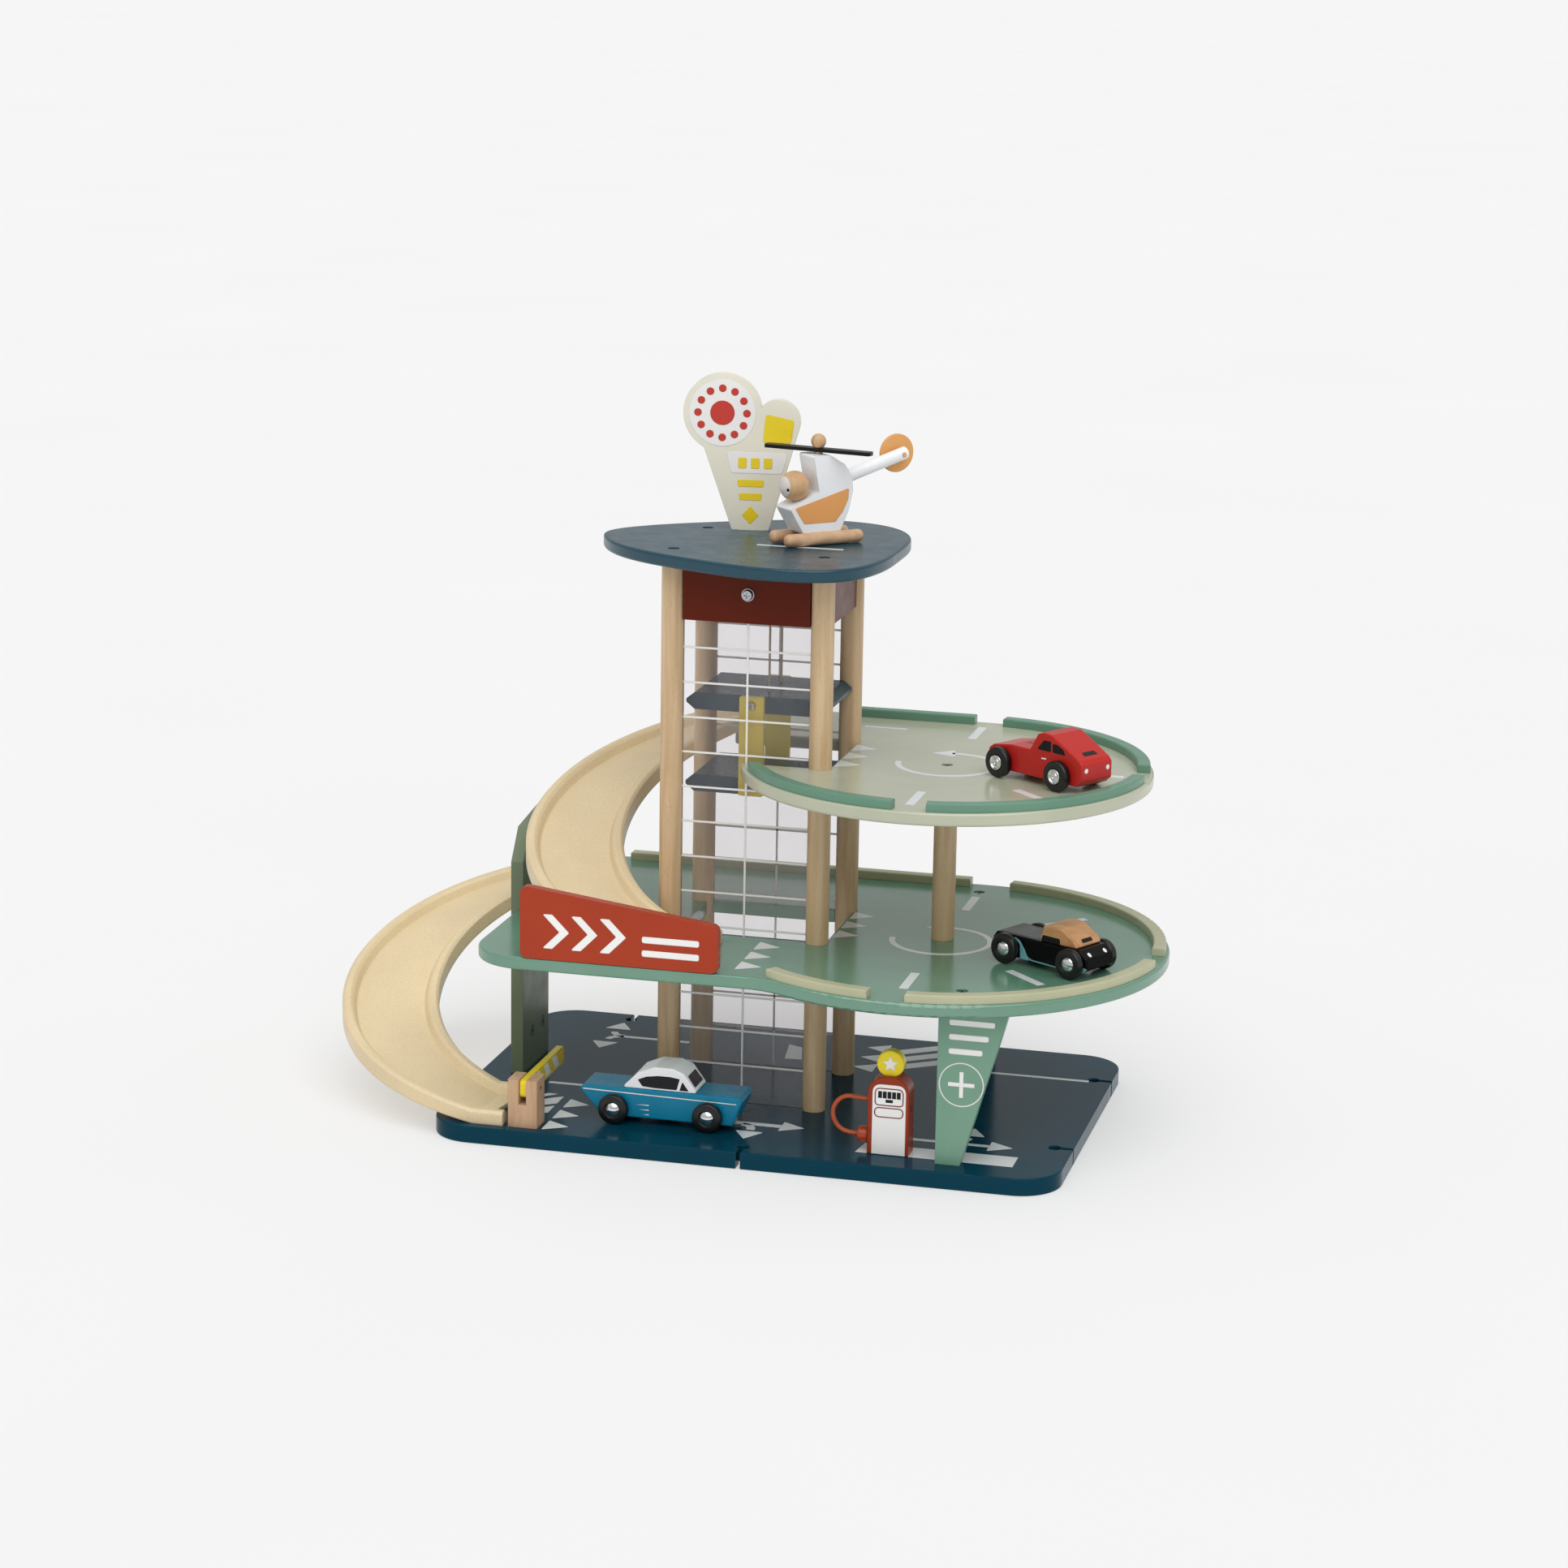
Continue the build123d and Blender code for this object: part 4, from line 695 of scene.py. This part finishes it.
screens = Prints()
slope_plate(screens, blue, (25.0, 25.0), (15.0, 38.5),
            rounded([(-10.2, 4.2), (10.2, 4.2), (9.4, 13.4), (-9.4, 13.4)], 1.0))
slope_plate(screens, blue, (-29.0, 25.0), (-18.0, 36.5),
            rounded([(-10.2, 4.0), (10.2, 4.0), (9.4, 12.6), (-9.4, 12.6)], 1.0))
screens.build("blue_car_screens", ink_black, "blue_car", "blue_paint")
trim = Prints()
trim.on_sides([(-56.3, 21.9), (53.0, 20.2), (53.0, 20.9), (-56.3, 22.8)], blue, car_half_width)
for start, height in ((-18.8, 14.2), (-16.3, 10.7), (-13.4, 7.4)):
    trim.on_sides([(start, height), (-9.0, height - 0.45), (-9.0, height + 0.45)], blue, car_half_width)
trim.build("blue_car_trim", clean_white, "blue_car", "blue_paint")

# ---- red car ------------------------------------------------------------------------------------
red = cars["red_car"]["where"]
glass = Prints()
glass.on_sides(rounded([(-17.9, 31.9), (-11.4, 31.9), (-5.0, 24.8), (-17.9, 24.8)], 1.1), red, car_half_width)
glass.on_sides(rounded([(-31.6, 24.6), (-19.4, 24.8), (-19.4, 31.0), (-24.0, 30.6), (-29.0, 28.4)], 1.1),
               red, car_half_width)
slope_plate(glass, red, (-44.0, 23.0), (-31.0, 30.0),
            rounded([(-6.6, 3.6), (6.6, 3.6), (5.8, 7.4), (-5.8, 7.4)], 0.8))
slope_plate(glass, red, (2.0, 23.5), (-5.0, 35.0),
            rounded([(-11.0, 2.0), (11.0, 2.0), (9.6, 10.6), (-9.6, 10.6)], 1.2))
glass.add(rounded([(-4.0, -1.2), (4.0, -1.2), (4.0, 1.2), (-4.0, 1.2)], 0.5), red, (13.0, 0.0, 23.5),
          (1, 0, 0), (0, 1, 0))
glass.build("red_car_windows", ink_black, "red_car", "red_paint")
trim = Prints()
trim.on_sides(rounded([(-13.8, 18.9), (-9.4, 18.6), (-9.4, 19.6), (-13.8, 20.0)], 0.3), red, car_half_width)
for y in (-10.5, 10.5):
    trim.add(circle((y, 16.2), 1.7, 24), red, (-46.5, 0.0, 0.0), (0, -1, 0), (0, 0, 1))
    trim.add(circle((y, 13.6), 1.7, 24), red, (40.0, 0.0, 0.0), (0, 1, 0), (0, 0, 1))
trim.build("red_car_trim", clean_white, "red_car", "white_paint")

# ---- truck --------------------------------------------------------------------------------------
truck = cars["truck"]["where"]
glass = Prints()
glass.on_sides(rounded([(-0.6, 20.4), (15.8, 20.4), (15.4, 24.4), (1.0, 24.6)], 0.8), truck, roof_half_width)
slope_plate(glass, truck, (31.0, 20.0), (27.0, 25.0),
            rounded([(-5.6, 3.4), (5.6, 3.4), (5.2, 6.3), (-5.2, 6.3)], 0.5))
glass.build("truck_windows", ink_black, "truck", "truck_cab")
sweep = Prints()
sweep.on_sides([(-23.0, 18.2), (-18.8, 15.7), (-15.1, 10.9), (-12.0, 6.6), (-7.8, 4.9), (1.5, 4.6),
                (15.4, 4.5), (15.4, 5.3), (-6.8, 5.7), (-10.6, 7.2), (-13.0, 11.6), (-17.4, 17.2),
                (-21.4, 19.0)][::-1], truck, car_half_width)
sweep.on_sides([(-17.0, 4.6), (-9.0, 4.6), (-12.6, 7.4), (-15.4, 11.6), (-17.4, 14.0)], truck, car_half_width)
sweep.on_sides(rounded([(35.0, 9.6), (40.6, 8.4), (37.6, 5.4), (35.0, 4.8)], 0.4), truck, car_half_width)
sweep.build("truck_sweep", car_teal, "truck", "truck_paint")
bed = Prints()
bed.add(rounded([(-36.6, -11.6), (-4.4, -11.6), (-4.4, 11.6), (-36.6, 11.6)], 1.0), truck, (0.0, 0.0, 20.0),
        (1, 0, 0), (0, 1, 0))
bed.build("truck_bed", bed_grey, "truck", "truck_paint")
lights = Prints()
for y in (-8.4, 8.4):
    slope_plate(lights, truck, (39.0, 15.0), (33.0, 20.0),
                [(y + 1.5 * u, 2.6 + 1.9 * v) for u, v in circle((0, 0), 1.0, 24)])
lights.build("truck_lights", clean_white, "truck", "white_paint")

# ---- fuel pump ----------------------------------------------------------------------------------
pump = placed(*pump_place, base_top)
label = Prints()
label.on_sides(rounded([(-10.9, 0.4), (12.2, 0.4), (12.2, 49.8), (-10.9, 49.8)], [0.3, 0.3, 6.4, 6.4], 8),
               pump, pump_half_depth, sides=(-1,))
label.build("pump_label", clean_white, "garage", "pump")


def framed(prints, outline, width, where, half, sides, proud):
    """A thin closed line round an outline."""
    for quad in band(outline + outline[:2], width):
        prints.on_sides(quad, where, half, sides=sides, proud=proud)


lines = Prints()
framed(lines, rounded([(-9.0, 35.2), (10.2, 35.2), (10.2, 47.0), (-9.0, 47.0)], [2.6, 2.6, 3.6, 3.6], 6), 0.8,
       pump, pump_half_depth, (-1,), 0.2)
framed(lines, rounded([(-9.2, 26.9), (10.3, 26.9), (10.3, 33.4), (-9.2, 33.4)], 3.2, 6), 0.8,
       pump, pump_half_depth, (-1,), 0.2)
lines.build("pump_lines", ink_maroon, "garage", "pump")
digits = Prints()
for i in range(5):
    x = -7.0 + 3.2 * i
    digits.on_sides(rounded([(x, 40.2), (x + 2.7, 40.2), (x + 2.7, 45.0), (x, 45.0)], 0.2), pump,
                    pump_half_depth, sides=(-1,), proud=0.2)
digits.on_sides(rounded([(-1.8, 37.2), (3.2, 37.2), (3.2, 39.4), (-1.8, 39.4)], 0.2), pump,
                pump_half_depth, sides=(-1,), proud=0.2)
digits.add(rounded([(-0.9, 29.6), (0.9, 29.6), (0.9, 34.4), (-0.9, 34.4)], 0.6), pump,
           (pump_half_width, 0.0, 0.0), (0, 1, 0), (0, 0, 1))
digits.build("pump_slots", ink_black, "garage", "pump")
star_points = []
for i in range(10):
    reach = 6.0 if i % 2 == 0 else 2.6
    angle = math.radians(90 + 36 * i)
    star_points.append((reach * math.cos(angle), 63.0 + reach * math.sin(angle)))
star = Prints()
star.on_sides(rounded(star_points, 0.25, 2), pump, globe_half_thickness, sides=(-1,))
star.build("pump_star", clean_white, "garage", "globe")

# ---- hose: the points of its route, from the pump to the nozzle ---------------------------------
hose_points = ((86.75, 48.4), (78.55, 48.4), (70.06, 49.4), (63.12, 44.36), (60.47, 36.2), (63.12, 28.04),
               (70.06, 23.0), (78.75, 23.0))
hose_y = -112.5
hose_diameter = 3.2
hose_curve = bpy.data.curves.new("pump_hose_line", "CURVE")
hose_curve.dimensions = "3D"
hose_curve.resolution_u = 24
hose_curve.bevel_depth = hose_diameter / 2 * MM
hose_curve.bevel_resolution = 8
spline = hose_curve.splines.new("NURBS")
spline.points.add(len(hose_points) - 1)
for point, (x, z) in zip(spline.points, hose_points):
    point.co = (x * MM, hose_y * MM, z * MM, 1.0)
spline.order_u = 3
spline.use_endpoint_u = True
hose_curve.materials.append(hose_rubber)
hose = bpy.data.objects.new("pump_hose_line", hose_curve)
bpy.context.scene.collection.objects.link(hose)
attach(hose, "garage")
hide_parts("pump_hose")

# ---- gate arm -----------------------------------------------------------------------------------
gate = placed(*gate_pivot)
stripes = Prints()
for start in (13.0, 32.0, 51.0):
    for side in (-1, 1):
        outline = [(start, 4.9), (start + 10.0, 4.9), (start + 17.5, -4.9), (start + 7.5, -4.9)]
        flipped = outline if side > 0 else [(-u, v) for u, v in outline]
        stripes.add(flipped, gate, (side * gate_arm_half, 0.0, 0.0), (0, side, 0), (0, 0, 1))
stripes.build("gate_stripes", clean_white, "gate", "gate_arm")

# ---- signs: plain generic designs ---------------------------------------------------------------
entry = placed(0.0, 0.0, level_one_top)
chevrons = Prints()
for x in (-138.0, -118.0, -98.0):
    chevrons.on_sides(rounded([(x, 8.0), (x + 7.0, 8.0), (x + 19.0, 20.0), (x + 7.0, 32.0), (x, 32.0),
                               (x + 12.0, 20.0)], 0.8), entry, entry_face, sides=(-1,))
chevrons.on_sides(rounded([(-68.0, 8.0), (-28.0, 8.0), (-28.0, 12.5), (-68.0, 12.5)], 1.6), entry, entry_face,
                  sides=(-1,))
chevrons.on_sides(rounded([(-68.0, 17.5), (-28.0, 17.5), (-28.0, 22.0), (-68.0, 22.0)], 1.6), entry,
                  entry_face, sides=(-1,))
chevrons.build("entry_sign_marks", clean_white, "garage", "entry_sign")

roof_sign = placed(-45.5, 54.0, helipad_top, 8.0)
head = (-20.5, 82.0)
sign_white = Prints()
sign_white.on_sides(circle(head, 23.6, 64), roof_sign, sign_half)
sign_white.on_sides(rounded([(-14.0, 40.0), (22.0, 40.0), (26.0, 55.0), (-17.5, 55.0)], 3.0), roof_sign,
                    sign_half)
sign_white.build("roof_sign_white", clean_white, "garage", "roof_sign")
sign_red_marks = Prints()
for i in range(12):
    angle = 2 * math.pi * i / 12
    dot = (head[0] + 17.2 * math.cos(angle), head[1] + 17.2 * math.sin(angle))
    sign_red_marks.on_sides(circle(dot, 2.7, 24), roof_sign, sign_half, proud=0.24)
sign_red_marks.on_sides(circle(head, 8.6, 40), roof_sign, sign_half, proud=0.24)
sign_red_marks.build("roof_sign_red", ink_red, "garage", "roof_sign")
sign_yellow = Prints()
sign_yellow.on_sides(rounded([(8.0, 62.0), (28.0, 62.0), (30.0, 78.0), (10.0, 82.0)], 2.0), roof_sign,
                     sign_half)
sign_yellow.on_sides(rounded([(-9.0, 30.5), (9.0, 30.5), (9.6, 35.5), (-9.6, 35.5)], 1.2), roof_sign,
                     sign_half)
sign_yellow.on_sides(rounded([(-7.6, 21.0), (7.6, 21.0), (8.2, 26.0), (-8.2, 26.0)], 1.2), roof_sign,
                     sign_half)
sign_yellow.on_sides(rounded([(0.0, 4.0), (6.0, 10.5), (0.0, 17.0), (-6.0, 10.5)], 0.8), roof_sign,
                     sign_half)
for x in (-9.0, 0.0, 9.0):
    sign_yellow.on_sides(rounded([(x, 43.5), (x + 6.0, 43.5), (x + 6.0, 51.0), (x, 51.0)], 1.0), roof_sign,
                         sign_half, proud=0.24)
sign_yellow.build("roof_sign_yellow", ink_yellow, "garage", "roof_sign")

pylon = placed(0.0, pylon_y, 0.0)
pylon_marks = Prints()
for quad in band(arc((152.2, 69.0), 15.0, 0, 360, 72), 0.9):
    pylon_marks.on_sides(quad, pylon, pylon_half, sides=(-1,))
for z, left, right in ((112.0, 143.0, 174.0), (102.0, 143.0, 170.0), (92.0, 143.0, 166.0)):
    pylon_marks.on_sides(rounded([(left, z - 2.0), (right, z - 2.0), (right, z + 2.0), (left, z + 2.0)], 1.6),
                         pylon, pylon_half, sides=(-1,))
for turn in (0, 90):
    c, s = math.cos(math.radians(turn)), math.sin(math.radians(turn))
    bar_points = [(-9.0, -1.4), (9.0, -1.4), (9.0, 1.4), (-9.0, 1.4)]
    pylon_marks.on_sides([(152.2 + c * u - s * v, 69.0 + s * u + c * v) for u, v in bar_points], pylon,
                         pylon_half, sides=(-1,), proud=paint_proud + 0.01 * turn / 90)
pylon_marks.build("pylon_marks", clean_white, "garage", "pylon")

# ---- helicopter ---------------------------------------------------------------------------------
helicopter = placed(*helicopter_place, helipad_top + rest_gap, helicopter_turn)
panel = Prints()
panel.on_sides(rounded([(-23.4, 26.4), (-15.6, 15.2), (9.2, 15.2), (15.2, 22.4), (19.2, 30.6), (19.6, 38.0)],
                       [1.6, 1.2, 1.4, 6.0, 5.0, 1.2], 6), helicopter, helicopter_half_width)
panel.build("helicopter_panels", ink_orange, "helicopter", "heli_body")

pilot_centre = Vector(pilot_place)


def on_ball(direction, spread, tall=1.0, steps=36, lift=0.06):
    """A painted patch on the pilot's ball, as a cap of small rings."""
    axis = Vector(direction).normalized()
    side = axis.cross(Vector((0, 0, 1))).normalized()
    up = side.cross(axis)
    points = [pilot_centre + axis * (pilot_radius + lift)]
    faces = []
    rings = 6
    for ring in range(1, rings + 1):
        reach = math.radians(spread) * ring / rings
        for step in range(steps):
            angle = 2 * math.pi * step / steps
            lean = side * math.cos(angle) * math.sin(reach) + up * math.sin(angle) * math.sin(reach) * tall
            point = (axis * math.cos(reach) + lean).normalized() * (pilot_radius + lift)
            points.append(pilot_centre + point)
    for step in range(steps):
        faces.append([0, 1 + step, 1 + (step + 1) % steps])
    for ring in range(rings - 1):
        for step in range(steps):
            a = 1 + ring * steps + step
            b = 1 + ring * steps + (step + 1) % steps
            faces.append([a, a + steps, b + steps, b])
    return [tuple((helicopter @ point) * MM) for point in points], faces


points, faces = on_ball((-1.0, 0.0, 0.02), 44.0, tall=0.9)
make_piece("pilot_face", points, faces, face_paint, "helicopter", smooth=True)
for name, sideways in (("pilot_eye_left", 0.55), ("pilot_eye_right", -0.55)):
    points, faces = on_ball((-0.82, sideways, -0.14), 6.0, lift=0.12)
    make_piece(name, points, faces, ink_black, "helicopter", smooth=True)

# ---- camera -------------------------------------------------------------------------------------
camera_place = Vector((635.498, -2585.816, 871.223))
azimuth = math.radians(13.453)
pitch = math.radians(13.515)
roll = math.radians(1.088)
looking = Vector((-math.sin(azimuth) * math.cos(pitch), math.cos(azimuth) * math.cos(pitch),
                  -math.sin(pitch)))
to_right = Vector((math.cos(azimuth), math.sin(azimuth), 0.0))
upward = to_right.cross(looking)
right_axis = to_right * math.cos(roll) + upward * math.sin(roll)
up_axis = upward * math.cos(roll) - to_right * math.sin(roll)
camera_data = bpy.data.cameras.new("camera")
camera_data.sensor_width = 36.0
camera_data.lens = 90.26
camera_data.shift_x = -0.019355
camera_data.shift_y = 0.003376
camera_data.clip_end = 200.0
camera = bpy.data.objects.new("camera", camera_data)
bpy.context.scene.collection.objects.link(camera)
axes = Matrix((right_axis, up_axis, -looking)).transposed().to_4x4()
camera.matrix_world = Matrix.Translation(camera_place * MM) @ axes
bpy.context.scene.camera = camera

# ---- floor, surroundings and lights -------------------------------------------------------------
# The floor's half width and its depth under the base board are in metres.
half_floor = 40.0
floor_z = -0.0002
floor_glow = 0.45
floor_mesh = bpy.data.meshes.new("floor")
floor_mesh.from_pydata([(-half_floor, -half_floor, floor_z), (half_floor, -half_floor, floor_z),
                        (half_floor, half_floor, floor_z), (-half_floor, half_floor, floor_z)], [],
                       [(0, 1, 2, 3)])
floor_finish = Finish("studio_floor")
cloud = floor_finish.remap(floor_finish.noise(2.0, 2.0), 0.3, 0.7, 0.0, 1.0)
tone = floor_finish.mix(cloud, (0.445, 0.445, 0.445, 1.0), (0.455, 0.455, 0.455, 1.0))
floor_finish.set(base=tone, roughness=0.9)
floor_finish.shader.inputs["Specular IOR Level"].default_value = 0.0
floor_finish.shader.inputs["Emission Color"].default_value = (1.0, 1.0, 1.0, 1.0)
floor_finish.shader.inputs["Emission Strength"].default_value = floor_glow
floor_mesh.materials.append(floor_finish.material)
floor = bpy.data.objects.new("floor", floor_mesh)
bpy.context.scene.collection.objects.link(floor)

world = bpy.data.worlds.new("studio")
bpy.context.scene.world = world
world.use_nodes = True
# The light of the surroundings is strongest from overhead and fades towards the horizon.
horizon_light = 0.45
zenith_light = 0.82
backdrop = world.node_tree.nodes["Background"]
backdrop.inputs["Color"].default_value = (1.0, 1.0, 1.0, 1.0)
sky_place = world.node_tree.nodes.new("ShaderNodeTexCoord")
sky_split = world.node_tree.nodes.new("ShaderNodeSeparateXYZ")
sky_range = world.node_tree.nodes.new("ShaderNodeMapRange")
sky_range.inputs["To Min"].default_value = horizon_light
sky_range.inputs["To Max"].default_value = zenith_light
world.node_tree.links.new(sky_place.outputs["Generated"], sky_split.inputs["Vector"])
world.node_tree.links.new(sky_split.outputs["Z"], sky_range.inputs["Value"])
world.node_tree.links.new(sky_range.outputs["Result"], backdrop.inputs["Strength"])


sun_data = bpy.data.lights.new("key", "SUN")
sun_data.energy = 1.35
sun_data.angle = math.radians(60)
sun = bpy.data.objects.new("key", sun_data)
bpy.context.scene.collection.objects.link(sun)
sun_direction = Vector((-0.30, 0.75, -1.15))
sun.matrix_world = sun_direction.to_track_quat("-Z", "Y").to_matrix().to_4x4()

bpy.context.scene.view_settings.view_transform = "Standard"
